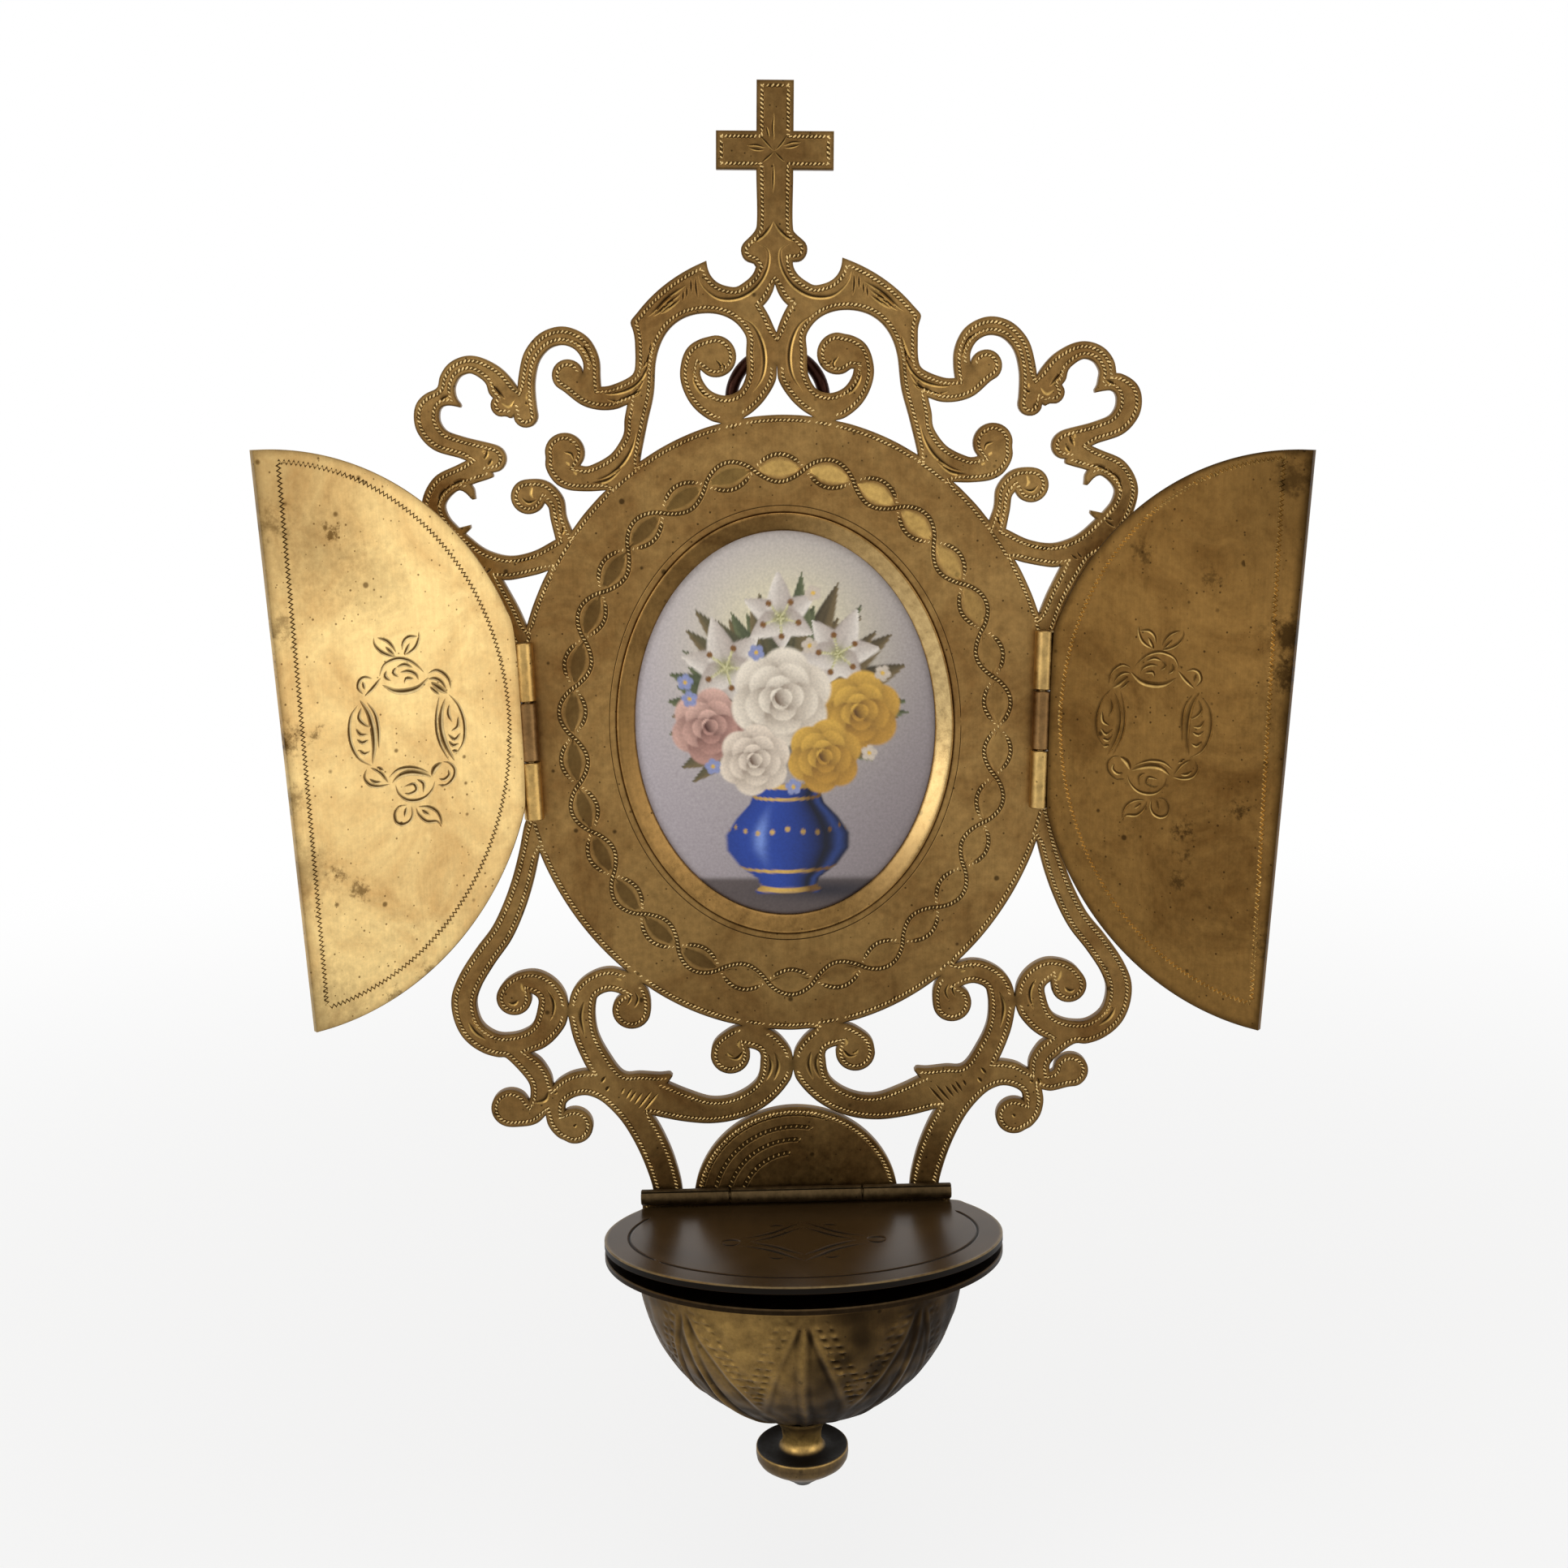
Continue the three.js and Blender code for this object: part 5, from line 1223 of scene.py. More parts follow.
# %% The ground, the leaves and the vase
NIGHT, BLUE, BLUE_LIT, BLUE_EDGE = paint("#0a0e22", "#24439c", "#7f9be0", "#34509c")
GILT, GILT_DARK = paint("#d6ae5a", "#6b4a1c")
SAGE, STRAW, MOSS, SHADOW = paint("#6d7350", "#7d6a48", "#3b4330", "#1b1d17")
LILAC, DUSK, WARM_GLOW, LEDGE, THICKET = paint("#b9b0b5", "#857b7c", "#eae0b4", "#4f4441", "#2c2a20")
VASE = np.array([  # height and half width
    (-30.6, 5.6), (-29.9, 6.0), (-29.2, 5.0), (-27.8, 5.4), (-25.4, 8.6), (-22.4, 10.8), (-19.6, 10.9),
    (-16.6, 9.0), (-14, 6.6), (-12.4, 6.0), (-11.2, 6.8), (-10.4, 7.8)])
GILT_LINES = ((-10.9, 0.55), (-13.3, 0.25), (-26.6, 0.3), (-30.1, 0.5))  # height and half width
LEAF_COUNT = 44
dusk = np.clip(0.45 + 0.4 * across / PLAQUE_HALF[0] - 0.35 * height / PLAQUE_HALF[1], 0, 1)
picture = between(LILAC, DUSK, dusk)
picture = lay(picture, 0.9 * glow((0, 14), (15, 16)), WARM_GLOW)
picture = lay(picture, 0.9 * soft_step(-27.2, -28.4, height + 0.02 * across), LEDGE)
picture = lay(picture, 0.75 * glow((7, -30.2), (11, 1.8)), NIGHT)
picture = lay(picture, 0.75 * soft_step(0.3, 0.8, glow((0, 4), (17, 13.5))), THICKET)
chance = np.random.default_rng(12)
for turn in np.linspace(-32, 212, LEAF_COUNT):
    reach = chance.uniform(17.5, 22.5) * (1 + 0.14 * math.sin(math.radians(turn)))
    way = math.radians(turn + chance.uniform(-5, 5))
    base = (0.45 * reach * math.cos(way), 0.45 * reach * math.sin(way) + 2)
    tip = (reach * math.cos(way), reach * math.sin(way) + 2 + chance.uniform(-1, 1))
    light = SAGE if chance.uniform() < 0.6 else STRAW
    picture = petal(picture, base, tip, chance.uniform(3.4, 5.6), light, SHADOW if tip[0] > 4 else MOSS,
                    lit=0.9 if tip[0] < 2 else -0.9, rib=0.7)
vase_side = across / np.interp(height, *VASE.T)
on_vase = soft_step(1.05, 0.97, np.abs(vase_side)) * soft_step(-30.8, -30.3, height)
on_vase = on_vase * soft_step(-10.2, -10.7, height)
rounded = np.clip(0.9 - 0.85 * (vase_side + 0.34) ** 2 - 0.22 * vase_side, 0, 1)
picture = lay(picture, on_vase, between(NIGHT, BLUE, rounded))
picture = lay(picture, 0.5 * on_vase * ridge(vase_side - 0.84, 0.1), BLUE_EDGE)
gleam = np.exp(-(((vase_side + 0.46) / 0.1) ** 2 + ((height + 20) / 3.6) ** 2))
picture = lay(picture, 0.85 * on_vase * gleam, BLUE_LIT)
gilt = between(GILT_DARK, GILT, np.clip(1 - 1.1 * (vase_side + 0.3) ** 2, 0, 1))
sag = 0.9 * (1 - np.sqrt(np.clip(1 - vase_side**2, 0, 1)))
for level, wide in GILT_LINES:
    line = soft_step(wide + 0.12, wide - 0.12, np.abs(height - (level + sag)))
    picture = lay(picture, on_vase * line, gilt)
for turn in np.radians(np.arange(-75, 80, 15)):
    x, z = 10.7 * math.sin(turn), -17.6 - 1.1 * math.cos(turn) - 0.8 * abs(math.sin(3 * turn))
    gap = np.hypot((across - x) / max(math.cos(turn), 0.3), height - z)
    picture = lay(picture, 0.9 * on_vase * soft_step(0.62, 0.36, gap), gilt)
print("leaves:", LEAF_COUNT, "and", len(GILT_LINES), "gilt lines")

# %% [markdown]
# The flowers come last, the lilies behind, the roses before them and small five-petalled blossoms over
# the gaps. White, cream, blush and ochre keep to the warm side, so that the blue of the vase, with a few
# of the blossoms, stays the one cool accent.

# %% The bouquet
WHITE, PEARL, IVORY, CREAM, PALE = paint("#efe7dc", "#9f8f86", "#efe4d2", "#d9cbb8", "#e9d9c6")
OCHRE, AMBER, UMBER, BLUSH, ROSEWOOD = paint("#d8ab4c", "#a8762c", "#5d3d18", "#dcb3a4", "#98655a")
WINE, FAWN, BARK = paint("#4d2b26", "#75604f", "#6b5445")
PERIWINKLE, SAND, POLLEN = paint("#8b93bd", "#cbbdac", "#d9b04e")
BLOSSOMS = ((-17.5, 8.2), (-4.8, 13.2), (4.6, 14.2), (17.4, 9), (14.8, -5.2), (-13, -7), (1.2, -11),
            (-16.8, 5.2), (5.4, 23.4))
for centre, reach, turn in (((-10.2, 10.6), 8.8, 104), ((9.6, 12.6), 8.2, 66), ((-0.4, 19.2), 7.8, 92)):
    picture = lily(picture, centre, reach, turn, WHITE, PEARL)
for centre, radius, *tones in (
        ((13.2, 2.2), 6.2, OCHRE, AMBER, UMBER), ((-13.4, 0.2), 5.8, BLUSH, ROSEWOOD, WINE),
        ((-0.6, 5.0), 7.6, IVORY, CREAM, FAWN), ((6.8, -5.6), 5.6, OCHRE, AMBER, UMBER),
        ((-5.6, -6.0), 5.4, PALE, CREAM, BARK)):
    picture = rose(picture, centre, radius, *tones)
for x, z in BLOSSOMS:
    for k in range(5):
        turn = math.radians(72 * k + 20 * x)
        spot = (x + 0.85 * math.cos(turn), z + 0.85 * math.sin(turn))
        picture = lay(picture, dot(spot, 0.8, 0.45), PERIWINKLE if x < 3 else SAND)
    picture = lay(picture, dot((x, z), 0.5, 0.25), POLLEN)
print("paint from", picture.min().round(3), "to", picture.max().round(3))

# %% [markdown]
# The picture sits in a colour attribute of the plaque, one value for each point, and the material only
# adds what the kiln adds: a stippled touch to the colours, and a clear glaze that pooled in slow waves.

# %% Porcelain
STIPPLE_MM = 0.45
POOL_MM = 7.0
GLAZE_WAVE_MM = 0.05
PLAQUE_BACK = -2.2
glazed, tree, shader = new_material("painted_glazed_porcelain")  # smooth glaze over stippled colours
place = add_node(tree, "ShaderNodeTexCoord").outputs["Object"]
colours = add_node(tree, "ShaderNodeAttribute", attribute_name="painting").outputs["Color"]
stipple = add_node(tree, "ShaderNodeTexNoise", {
    "Vector": place, "Scale": per_metre(STIPPLE_MM), "Detail": 2.0}).outputs["Fac"]
touch = add_node(tree, "ShaderNodeMapRange", {
    "Value": stipple, "From Min": 0.25, "From Max": 0.75, "To Min": 0.88, "To Max": 1.1}).outputs["Result"]
stippled = add_node(tree, "ShaderNodeVectorMath", {
    0: colours, "Scale": touch}, operation="SCALE").outputs["Vector"]
tree.links.new(stippled, shader.inputs["Base Color"])
pool = add_node(tree, "ShaderNodeTexNoise", {
    "Vector": place, "Scale": per_metre(POOL_MM), "Detail": 2.0}).outputs["Fac"]
sheen = add_node(tree, "ShaderNodeMapRange", {"Value": pool, "To Min": 0.1, "To Max": 0.2}).outputs["Result"]
tree.links.new(sheen, shader.inputs["Roughness"])
shader.inputs["IOR"].default_value = 1.5
shader.inputs["Specular IOR Level"].default_value = 0.3
wave = add_node(tree, "ShaderNodeBump", {
    "Height": pool, "Strength": 0.3, "Distance": GLAZE_WAVE_MM * MM}).outputs["Normal"]
tree.links.new(wave, shader.inputs["Normal"])
back = upright_oval(PLAQUE_HALF, SIGHT_CENTRE, PLAQUE_BACK, PLAQUE_SPOKES)
middle = np.tile([0, PLAQUE_BACK, SIGHT_CENTRE], (PLAQUE_SPOKES, 1))
plaque = ring_stack("porcelain_plaque_painted", [middle, back] + plaque_rings, glazed, sharp=40)
tints = plaque.data.attributes.new("painting", "FLOAT_COLOR", "POINT")
lookup = point_tree(canvas)
for vertex, tint in zip(plaque.data.vertices, tints.data):
    spot = (vertex.co.x / MM, vertex.co.z / MM - SIGHT_CENTRE, 0)
    tint.color = (*picture[lookup.find(spot)[1]], 1.0)
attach(plaque, "plate")
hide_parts("porcelain_plaque")

# %% [markdown]
# The font is a half-oval bowl, chased from sheet against pitch. Eight tall leaves stand like tents under
# the rim, each with a midrib and two folds, and rows of rope stitches fill the spaces between them. The
# relief is a height in millimetres for each direction and depth, pushed out along the bowl's own normal,
# and the same height says where dirt stays and where rubbing shows.

# %% Chased relief
BOWL_HALF = (28.9, 20.5, 31.6)
BOWL_MIDDLE = (0.5, -22.9, -91.8)
BOWL_GIRTH = 25  # a mean radius, which gives the leaves their width in mm
BOWL_LEAVES = 8
STITCHES = 30  # from rim to bottom
RELIEF_MM = 0.46


def hand_noise(turn, drop, scale, seed):
    """Slow, uneven waves between 0 and 1, the same on every run."""
    waves = np.random.default_rng(seed).uniform(-1, 1, (7, 4))
    total = sum(np.sin(scale * (6 * a * turn + 9 * b * drop) + 6 * c) * (1 + d) for a, b, c, d in waves)
    return 0.5 + 0.5 * np.tanh(total / 2.6)


def chased_relief(turn, drop):
    """Height of the leaves and stitches, for an angle from the front and a share of the depth."""
    around = 2 * math.pi * BOWL_GIRTH * np.cos(drop * math.pi / 2) / BOWL_LEAVES + 0.5
    wander = 0.05 * (hand_noise(turn, drop, 1.3, 3) - 0.5)
    a = (turn / (2 * math.pi) * BOWL_LEAVES + 0.5 + wander) % 1 - 0.5
    out = (np.abs(a) - 0.5 * np.clip((drop - 0.03) / 0.52, 0.001, 1)) * around  # from the tent's side, in mm
    tent = 0.7 * ridge(out, 0.4) - 0.6 * ridge(out + 1.0, 0.4)
    rib = 0.9 * ridge(a * around, 0.42) - 0.6 * ridge(np.abs(a) * around - 1.1, 0.42)
    bead = np.cos(2 * math.pi * (drop * STITCHES + 0.25 * hand_noise(turn, drop, 5.0, 5)))
    rows = ridge(out - 1.2, 0.5) + 0.8 * ridge(out - 3.0, 0.5)
    missed = hand_noise(turn, drop, 9.0, 6) <= 0.2
    stitches = rows * (1.3 * np.clip(bead, 0, 1) - 0.9 * np.clip(-bead, 0, 1)) * ~missed
    stitches = stitches * np.clip(1.55 - np.abs(turn), 0, 1)
    upper = np.clip((0.6 - drop) * 6, 0, 1)
    intensity = (0.35 + 0.65 * hand_noise(turn, drop, 1.6, 11)) * np.clip(1.3 - 0.7 * np.abs(turn + 0.4), 0.35, 1)
    hammered = 0.3 * (hand_noise(turn, drop, 6.0, 31) - 0.5)
    fade = np.clip((drop - 0.05) * 18, 0, 1) * np.clip((0.97 - drop) * 9, 0, 1)
    return RELIEF_MM * ((upper * (tent + stitches) + rib) * intensity + hammered) * fade


def bowl_ring(turn, drop, thick, back, relief):
    """One level of the bowl, cut straight across at its flat back."""
    a, b, c = (h - thick for h in BOWL_HALF)
    level = np.cos(drop * math.pi / 2)
    x, y = a * level * np.sin(turn), -b * level * np.cos(turn)
    z = np.full(len(turn), -c * np.sin(drop * math.pi / 2))
    normal = unit(np.stack([x / a**2, y / b**2, z / c**2], axis=1))
    point = np.stack([x, y, z], axis=1) + normal * relief[:, None]
    limit = back - BOWL_MIDDLE[1]
    over = point[:, 1] > limit
    point[over, :2] *= (limit / point[over, 1])[:, None]
    return point + BOWL_MIDDLE


print("a leaf of the font is", round(2 * math.pi * BOWL_GIRTH / BOWL_LEAVES, 1), "mm wide at the rim")

# %% [markdown]
# The bowl is round in front and flat at the back, where rivets hold it to the plate. Its levels lie closer
# together than the relief is wide, so that every stitch shows, and its inside is plain. The leaves at the
# upper left get a painted highlight, and the right side and the bottom get painted shade.

# %% Chased font
BOWL_BACK = -6.52
BOWL_WALL = 1.0
BOWL_LEVELS = 160
INSIDE_LEVELS = 14
CORNER_DEGREES = 142  # where the round front meets the flat back
# chased sheet: brown and mottled, with a grainy satin that shows every dent
FONT_CHASED = aged_brass("chased_font_bronze", "#654e2c", "#4a371f", "#1c130a", "#ab8a4e", rough=0.42,
                         clouded=0.7, relief=1.2, mottled=0.9)
corner = math.radians(CORNER_DEGREES)
front = np.linspace(-corner, corner, 460)
behind = np.linspace(corner, math.radians(360 - CORNER_DEGREES), 24)[1:-1]
bowl_turn = np.concatenate([front, behind])
facing = np.clip((np.cos(bowl_turn) + 0.72) * 6, 0, 1)
bowl_rings, tarnish, polish = [], [], []
for drop in np.linspace(0, 1, BOWL_LEVELS):
    relief = chased_relief(bowl_turn, np.full(len(bowl_turn), drop)) * facing
    bowl_rings.append(bowl_ring(bowl_turn, drop, 0, BOWL_BACK, relief))
    raised = np.clip(relief / RELIEF_MM, 0, 1)
    hollow = np.clip(-relief / RELIEF_MM, 0, 1)
    # a painted highlight at the upper left of the bowl
    lit_patch = np.exp(-(((bowl_turn + 0.4) / 0.42) ** 2 + ((drop - 0.2) / 0.22) ** 2))
    stain = 0.6 * hand_noise(bowl_turn, drop, 2.4, 21) + 0.4 * hand_noise(bowl_turn, drop, 8.0, 22) - 0.5
    # painted shade on the right side and towards the bottom, mixed with real stains
    shade_and_stain = np.clip(0.32 * bowl_turn, -0.05, 0.25) + np.clip((drop - 0.35) * 0.9, 0, 0.4) + 0.4 * stain
    polish.append(np.clip(raised * (0.2 + 0.5 * lit_patch) + 0.5 * lit_patch * (1 - 0.8 * hollow + stain), 0, 1))
    dirt_and_shade = np.clip(0.4 + 0.65 * hollow - 0.35 * raised - 0.35 * lit_patch + shade_and_stain, 0, 1)
    tarnish.append(dirt_and_shade * (drop > 0.05))
inner_rings = [bowl_ring(bowl_turn, drop, BOWL_WALL, BOWL_BACK - BOWL_WALL, 0 * bowl_turn)
               for drop in np.linspace(1, 0, INSIDE_LEVELS)]
plain = np.zeros(INSIDE_LEVELS * len(bowl_turn))
values = {"tarnish": np.concatenate([plain + 0.55] + tarnish), "polish": np.concatenate([plain] + polish)}
bowl = ring_stack("chased_font", inner_rings + bowl_rings, FONT_CHASED, values, sharp=60)
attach(bowl, "plate")
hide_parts("font_bowl")

# %% [markdown]
# Under the font hangs a turned finial: a flared collar on a slim neck, a dished disc and a domed
# cap with a small tip. It gets painted highlights on the neck and the rim, and the dish is painted near
# black, a painted dark reflection. So the same profile that gives the shape also carries dirt and shine,
# painted shade and painted highlights.

# %% Finial
FINIAL_MIDDLE = (0.0, -22.9)
FINIAL_SPOKES = 96
# turned bronze: nearly black, and golden where its profile gives polish and painted highlights
FINIAL_BRONZE = aged_brass("turned_finial_bronze", "#58452a", "#3c2d1a", "#0d0905", "#c9a25a", rough=0.42,
                           clouded=0.8, specked=0.9, relief=1.2, mottled=1.2, metallic=0.8)
FINIAL_PROFILE = [  # radius, height, dirt and painted shade, polish and painted highlight
    (0.0, -122.9, 0.9, 0), (4.4, -122.8, 0.9, 0), (5.5, -122.6, 0.3, 0.2), (5.7, -122.8, 0.2, 0.35),
    (5.5, -123.1, 0.3, 0.2), (4.7, -123.8, 0.3, 0.1), (4.1, -124.6, 0.2, 0.2), (3.7, -125.5, 0.1, 0.4),
    (3.5, -126.5, 0, 0.8), (3.45, -127.5, 0, 1), (3.6, -128.3, 0, 0.9), (3.95, -128.85, 0.3, 0.4),
    (4.4, -129.25, 0.85, 0), (5.3, -129.6, 1, 0), (6.3, -129.66, 1, 0), (7.3, -129.4, 1, 0),
    (7.9, -129.0, 0.9, 0), (8.12, -128.92, 0.5, 0.1), (8.28, -129.05, 0.1, 0.5), (8.3, -129.4, 0.3, 0.1),
    (8.32, -130.2, 0.35, 0.05), (8.2, -131.0, 0.25, 0.1), (7.8, -131.7, 0.2, 0.1), (6.7, -132.55, 0.25, 0.05),
    (5.3, -133.4, 0.35, 0), (4.1, -134.3, 0.5, 0), (3.2, -135.0, 0.65, 0), (2.5, -135.5, 0.75, 0),
    (2.0, -135.95, 0.7, 0), (1.6, -136.3, 0.6, 0.05), (0.95, -136.56, 0.6, 0.05), (0.0, -136.65, 0.6, 0),
]
radius, height, tarnish, polish = np.array(FINIAL_PROFILE).T
circle = oval((1, 1), 0, FINIAL_SPOKES)
rings = [np.insert(FINIAL_MIDDLE + r * circle, 2, z, axis=1) for r, z in zip(radius, height)]
values = {"tarnish": np.repeat(tarnish, FINIAL_SPOKES), "polish": np.repeat(polish, FINIAL_SPOKES)}
finial = ring_stack("turned_finial", rings, FINIAL_BRONZE, values, sharp=50)
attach(finial, "plate")
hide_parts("finial")

# %% [markdown]
# The hinges are rolled: a strip of sheet bent round a wire, so each barrel shows a fine seam along its
# length. A barrel here is a ring stack about its axis, with eased ends, a bore for the pin, and a shallow
# notch for the seam. Barrels fixed to the plate reach back to it with a small foot.

# %% A rolled barrel
BARREL_SPOKES = 64
BARREL_RINGS = ((-0.5, "bore"), (0.5, "bore"), (0.5, "end"), (0.5, "side"), (-0.5, "side"), (-0.5, "end"))
SEAM_WIDTH = math.radians(5)
SEAM_DEPTH = 0.22
EASE = 0.16
BORE = 0.95
DOOR_BARREL = 1.75  # radius
LID_BARREL = 1.42


def barrel(name, node, axis, radius, seam, foot=None, material=PLATE_BRASS, body="plate"):
    """A rolled barrel that fills the length of a CAD node along an axis."""
    low, high = (np.array(corner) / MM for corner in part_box(node))
    axis = np.array(Vector(axis).normalized())
    middle = (low + high) / 2
    upright = np.abs(axis).max()
    length = (high - low)[np.argmax(np.abs(axis))] / upright - 2 * radius * np.sqrt(1 - upright**2) / upright
    depth = np.array([0.0, 1.0, 0.0])
    turn = full_turn(BARREL_SPOKES)
    c, s = np.cos(turn), np.sin(turn)
    reach = np.full(BARREL_SPOKES, radius)
    if foot is not None:
        middle[1] = foot
        box = np.minimum(radius / np.maximum(s, 1e-6), radius / 2 / np.maximum(np.abs(c), 1e-6))
        reach = np.where(s > 0, np.maximum(radius, box), radius)
    gap = np.abs((turn - math.radians(seam) + math.pi) % (2 * math.pi) - math.pi)
    reach = reach - SEAM_DEPTH * (gap < SEAM_WIDTH)
    spokes = c[:, None] * np.cross(depth, axis) + s[:, None] * depth
    sizes = {"bore": np.full(BARREL_SPOKES, BORE), "end": reach - EASE, "side": reach}
    rings, dirt_and_shade = [], []
    for end, part in BARREL_RINGS:
        along = end * length - (math.copysign(EASE, end) if part == "side" else 0)
        rings.append(middle + sizes[part][:, None] * spokes + along * axis)
        dirt_and_shade.append(np.where(gap < SEAM_WIDTH, 0.9, 0.5 if part == "bore" else 0.0))
    values = {"tarnish": np.concatenate(dirt_and_shade), "polish": np.zeros(BARREL_SPOKES * len(rings))}
    piece = ring_stack(name, rings, material, values, looped=True, sharp=35)
    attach(piece, body)
    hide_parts(node)


print("a seam takes", round(math.degrees(2 * SEAM_WIDTH)), "degrees of a barrel")

# %% [markdown]
# Each door turns on two barrels of its own with one of the plate's between them, and so does the lid. The
# doors' barrels are handled and bright, those on the plate lie in their shade, and the lid's are smoked.

# %% Hinges
# satin and brown, in the shade of the doors
SHADED_BRASS = aged_brass("shaded_hinge_brass", "#7d5f3b", "#62482a", "#1c1208", "#a98a55", rough=0.36,
                          clouded=0.4, specked=0.4)
# rubbed by every hand that moves a door: satin and bright
BARREL_BRASS = {
    "left": aged_brass("cleaned_barrel_brass", "#bd9a5c", "#9a7640", "#3a270f", "#ecd092", rough=0.34),
    "right": aged_brass("rubbed_barrel_brass", "#b2935a", "#96774a", "#2a1b0a", "#dcbd84", rough=0.34)}
# close to smoke and damp: dark and rough
LID_HINGE_BRASS = aged_brass("smoked_hinge_brass", "#54442d", "#3a2d1b", "#0c0804", "#6a5636", rough=0.55,
                             clouded=0.8, specked=0.6, mottled=1.2)
for door in DOORS:
    hand, axis = door.hand, hinge_axis(door)
    for level in ("upper", "lower"):
        barrel(f"{hand}_{level}_barrel", f"{hand}_door_{level}_knuckle", axis, DOOR_BARREL, seam=80,
               material=BARREL_BRASS[hand], body=f"{hand}_door")
    barrel(f"{hand}_fixed_barrel", f"{hand}_plate_knuckle", axis, DOOR_BARREL, seam=60,
           foot=HINGE_PLACE[1], material=SHADED_BRASS)
for hand in ("left", "right"):
    barrel(f"lid_{hand}_barrel", f"lid_{hand}_knuckle", (1, 0, 0), LID_BARREL, seam=210,
           material=LID_HINGE_BRASS, body="font_lid")
barrel("lid_fixed_barrel", "lid_plate_knuckle", (1, 0, 0), LID_BARREL, seam=210, foot=LID_HINGE_Y,
       material=LID_HINGE_BRASS)

# %% [markdown]
# The ring to hang it by is a bent iron wire, annealed until it went dark. It is rebuilt round, because it
# shows through the fretwork: a small circle of wire is carried round a large one, as a torus is.

# %% Hanging ring
RING_RADIUS = 8.0
RING_STEPS = 72
WIRE_RADIUS = 1.1
WIRE_STEPS = 20
# drawn iron, annealed: smooth, with a brown-black scale
IRON_WIRE = aged_brass("annealed_iron_wire", "#3b231b", "#271612", "#110a08", "#7c5a48", rough=0.34,
                       clouded=0.6, specked=0.6)
low, high = (np.array(corner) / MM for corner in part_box("hanging_ring"))
ring_centre = (low + high) / 2
round_wire = full_turn(WIRE_STEPS)[:, None]
rings = []
for turn in full_turn(RING_STEPS):
    way = np.array([math.cos(turn), 0, math.sin(turn)])
    section = np.cos(round_wire) * way + np.sin(round_wire) * (0, 1, 0)
    rings.append(ring_centre + way * RING_RADIUS + WIRE_RADIUS * section)
wire = ring_stack("hanging_wire_ring", rings, IRON_WIRE, looped=True)
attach(wire, "hanging_ring")
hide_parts("hanging_ring")

# %% [markdown]
# What remains is seen less: the ring's staple, the pins, the rivets and nut of the font, the tin cap
# behind the plaque and its card packing. Their CAD shapes are right as they are, so each keeps its mesh and
# gets the finish of what it is made of.

# %% Finishes for the carried-over pieces
FIBRE_MM = 0.8
FIBRE_RELIEF_MM = 0.05
# tinned iron: grey, dulled and spotted
TINNED_CAP = aged_brass("tinned_sheet_iron", "#7d7466", "#5f564a", "#2b241c", "#a99f90", rough=0.42,
                        clouded=0.6, specked=0.6)
# drawn wire: even and fairly bright
PIN_BRASS = aged_brass("drawn_pin_brass", "#8a6f45", "#6b5231", "#2a1c0e", "#cdb07a", rough=0.32,
                       clouded=0.3, specked=0.2)
card, tree, shader = new_material("grey_packing_card")  # pressed fibres, matt, with darker flecks
place = add_node(tree, "ShaderNodeTexCoord").outputs["Object"]
fibre = add_node(tree, "ShaderNodeTexNoise", {
    "Vector": place, "Scale": per_metre(FIBRE_MM), "Detail": 5.0}).outputs["Fac"]
flecked = add_node(tree, "ShaderNodeMix", {
    "Factor": fibre, "A": linear("#6b5f4e"), "B": linear("#a39680")}, data_type="RGBA").outputs["Result"]
tree.links.new(flecked, shader.inputs["Base Color"])
shader.inputs["Roughness"].default_value = 0.9
bump = add_node(tree, "ShaderNodeBump", {
    "Height": fibre, "Strength": 0.5, "Distance": FIBRE_RELIEF_MM * MM}).outputs["Normal"]
tree.links.new(bump, shader.inputs["Normal"])
CARRIED = {
    "plaque_packing": card, "backing_cap": TINNED_CAP, "left_hinge_pin": PIN_BRASS,
    "right_hinge_pin": PIN_BRASS, "lid_hinge_pin": LID_HINGE_BRASS, "bowl_rivet_left": PLATE_BRASS,
    "bowl_rivet_right": PLATE_BRASS, "finial_nut": PIN_BRASS, "ring_staple": PLATE_BRASS,
}
for node, finish in CARRIED.items():
    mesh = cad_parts[node].data
    mesh.materials.clear()
    mesh.materials.append(finish)
print("carried over:", ", ".join(CARRIED))

# %% [markdown]
# The surround is an even white, the look of a product photograph. It is white to the camera and to
# reflections, so that the metal has a bright room to show. To the light that falls on surfaces it is
# about half as bright, so that with the lamps the colours come out as they are written.

# %% World
WORLD_LIGHT = 0.55


def seen_directly(tree):
    """1 for what the camera, a reflection or glass sees, and 0 for light that falls on a surface."""
    path = add_node(tree, "ShaderNodeLightPath").outputs
    seen = path["Is Camera Ray"]
    for ray in ("Is Glossy Ray", "Is Transmission Ray"):
        seen = add_node(tree, "ShaderNodeMath", {0: seen, 1: path[ray]}, operation="MAXIMUM").outputs[0]
    return seen


world = bpy.data.worlds.new("studio_white")
bpy.context.scene.world = world
world.use_nodes = True
sky = world.node_tree
strength = add_node(sky, "ShaderNodeMapRange", {
    "Value": seen_directly(sky), "To Min": WORLD_LIGHT, "To Max": 1.0}).outputs["Result"]
sky.links.new(strength, sky.nodes["Background"].inputs["Strength"])
sky.nodes["Background"].inputs["Color"].default_value = (1, 1, 1, 1)
print("world light on surfaces:", WORLD_LIGHT)

# %% [markdown]
# The floor is a sheet of white paper far below. It keeps the soft shadow of the stoup, and it fades to the
# white of the surround with distance, so no horizon shows.

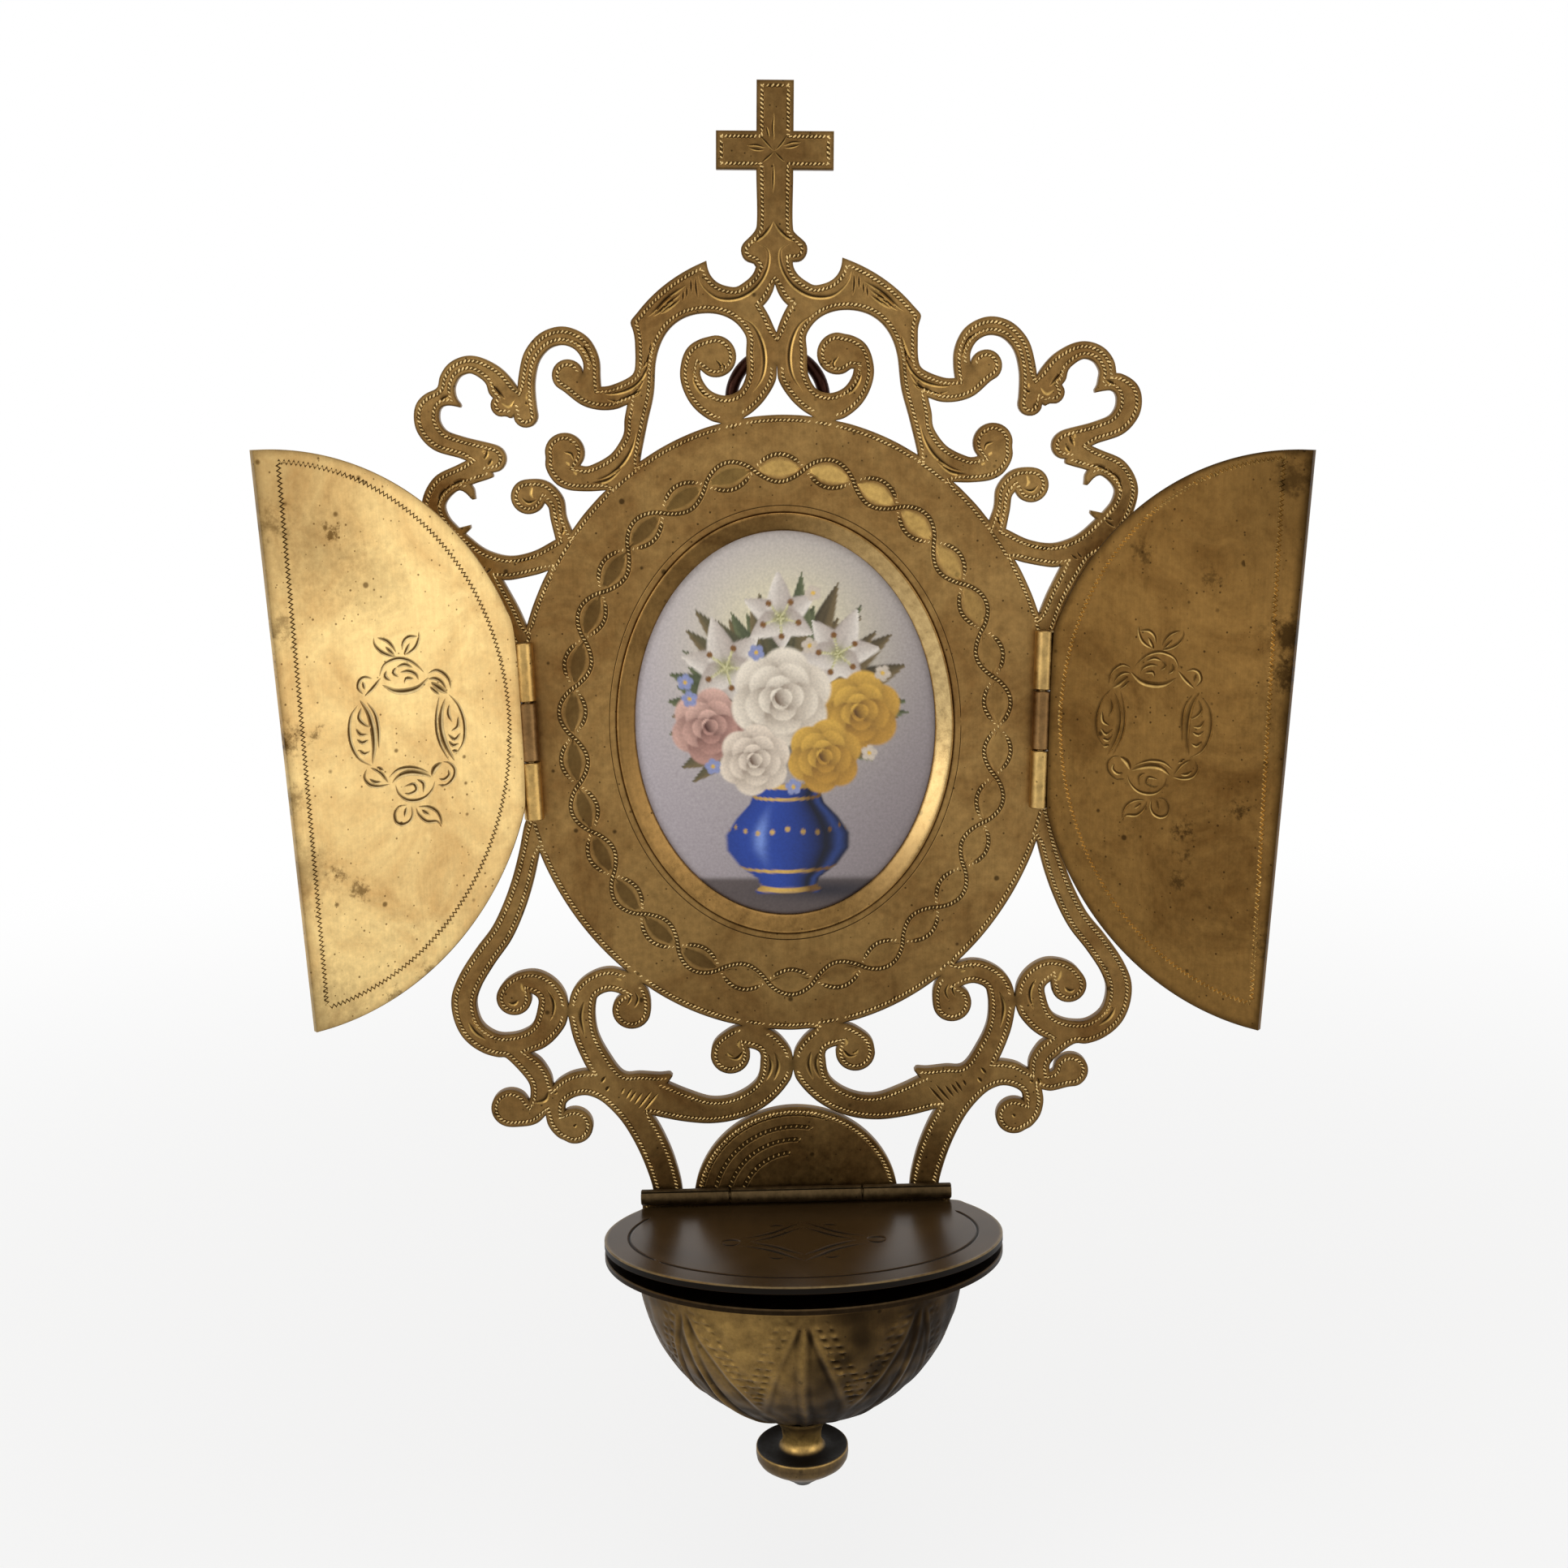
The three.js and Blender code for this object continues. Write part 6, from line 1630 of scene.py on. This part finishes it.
# %% Floor
FLOOR_Z = -0.175
FLOOR_HALF = 4
FADE_FROM, FADE_TO = 0.2, 0.75
floor_mesh = bpy.data.meshes.new("studio_floor")
corners = [(a * FLOOR_HALF, b * FLOOR_HALF, FLOOR_Z) for a, b in ((-1, -1), (1, -1), (1, 1), (-1, 1))]
floor_mesh.from_pydata(corners, [], [(0, 1, 2, 3)])
floor = bpy.data.objects.new("studio_floor", floor_mesh)
bpy.context.scene.collection.objects.link(floor)
paper, tree, shader = new_material("white_paper")  # matt, and lifted to white where it is seen directly
shader.inputs["Base Color"].default_value = linear("#f4f3f1")
shader.inputs["Roughness"].default_value = 0.9
place = add_node(tree, "ShaderNodeTexCoord").outputs["Object"]
away = add_node(tree, "ShaderNodeVectorMath", {0: place}, operation="LENGTH").outputs["Value"]
fade = add_node(tree, "ShaderNodeMapRange", {
    "Value": away, "From Min": FADE_FROM, "From Max": FADE_TO},
    interpolation_type="SMOOTHSTEP").outputs["Result"]
lifted = add_node(tree, "ShaderNodeMapRange", {
    "Value": fade, "To Min": 0.72, "To Max": 1.0}).outputs["Result"]
amount = add_node(tree, "ShaderNodeMath", {
    0: lifted, 1: seen_directly(tree)}, operation="MULTIPLY").outputs[0]
white = add_node(tree, "ShaderNodeEmission", {"Color": (1, 1, 1, 1), "Strength": 1.0}).outputs[0]
mixed = add_node(tree, "ShaderNodeMixShader", {0: amount, 1: shader.outputs[0], 2: white}).outputs[0]
tree.links.new(mixed, tree.nodes["Material Output"].inputs["Surface"])
floor_mesh.materials.append(paper)
print("floor at", FLOOR_Z, "m")

# %% [markdown]
# Metal shows the room around it, so a large white box is a gentler light than a bright point. Three soft
# boxes, from both sides and from above, give the sheets their gradients and the edges their shine.

# %% Lamps
LAMPS = (  # name, place and aim in metres, width and height, watts
    ("right_soft_box", (0.46, -0.30, 0.0), (-0.06, -0.02, 0.0), (0.35, 0.5), 0.7),
    ("left_soft_box", (-0.5, -0.5, 0.15), (0.0, -0.02, 0.0), (0.3, 0.4), 1.0),
    ("top_soft_box", (0.0, -0.35, 0.7), (0.0, -0.02, 0.0), (0.6, 0.4), 1.2),
)
for name, place, aim, size, watts in LAMPS:
    light = bpy.data.lights.new(name, "AREA")
    light.shape = "RECTANGLE"
    light.size, light.size_y = size
    light.energy = watts
    lamp = bpy.data.objects.new(name, light)
    lamp.location = place
    lamp.rotation_euler = (Vector(aim) - Vector(place)).to_track_quat("-Z", "Y").to_euler()
    bpy.context.scene.collection.objects.link(lamp)
print("lamps:", len(LAMPS))

# %% [markdown]
# The camera stands a little above the middle, looks down eleven degrees and is turned a touch, as a hand
# holds it. Its lens follows from how fast the doors grow towards the viewer.

# %% Camera
CAMERA_PLACE = Vector((-0.464, -345.55, 55.16)) * MM
PITCH_DOWN = math.radians(11.0)
TILT = math.radians(1.35)
SENSOR_WIDTH = 36.0
PHOTO_SIZE = 1932
FOCAL_PIXELS = 2400
camera = bpy.data.objects.new("camera", bpy.data.cameras.new("camera"))
ahead = Vector((0, math.cos(PITCH_DOWN), -math.sin(PITCH_DOWN)))
above = Vector((0, math.sin(PITCH_DOWN), math.cos(PITCH_DOWN)))
side = Vector((1, 0, 0))
right = side * math.cos(TILT) - above * math.sin(TILT)
upward = side * math.sin(TILT) + above * math.cos(TILT)
aimed = Matrix((right, upward, -ahead)).transposed().to_4x4()
camera.matrix_world = Matrix.Translation(CAMERA_PLACE) @ aimed
camera.data.sensor_width = SENSOR_WIDTH
camera.data.lens = SENSOR_WIDTH * FOCAL_PIXELS / PHOTO_SIZE
camera.data.clip_start = 0.01
bpy.context.scene.collection.objects.link(camera)
bpy.context.scene.camera = camera
bpy.context.scene.view_settings.view_transform = "Standard"
print("lens:", round(camera.data.lens, 2), "mm")
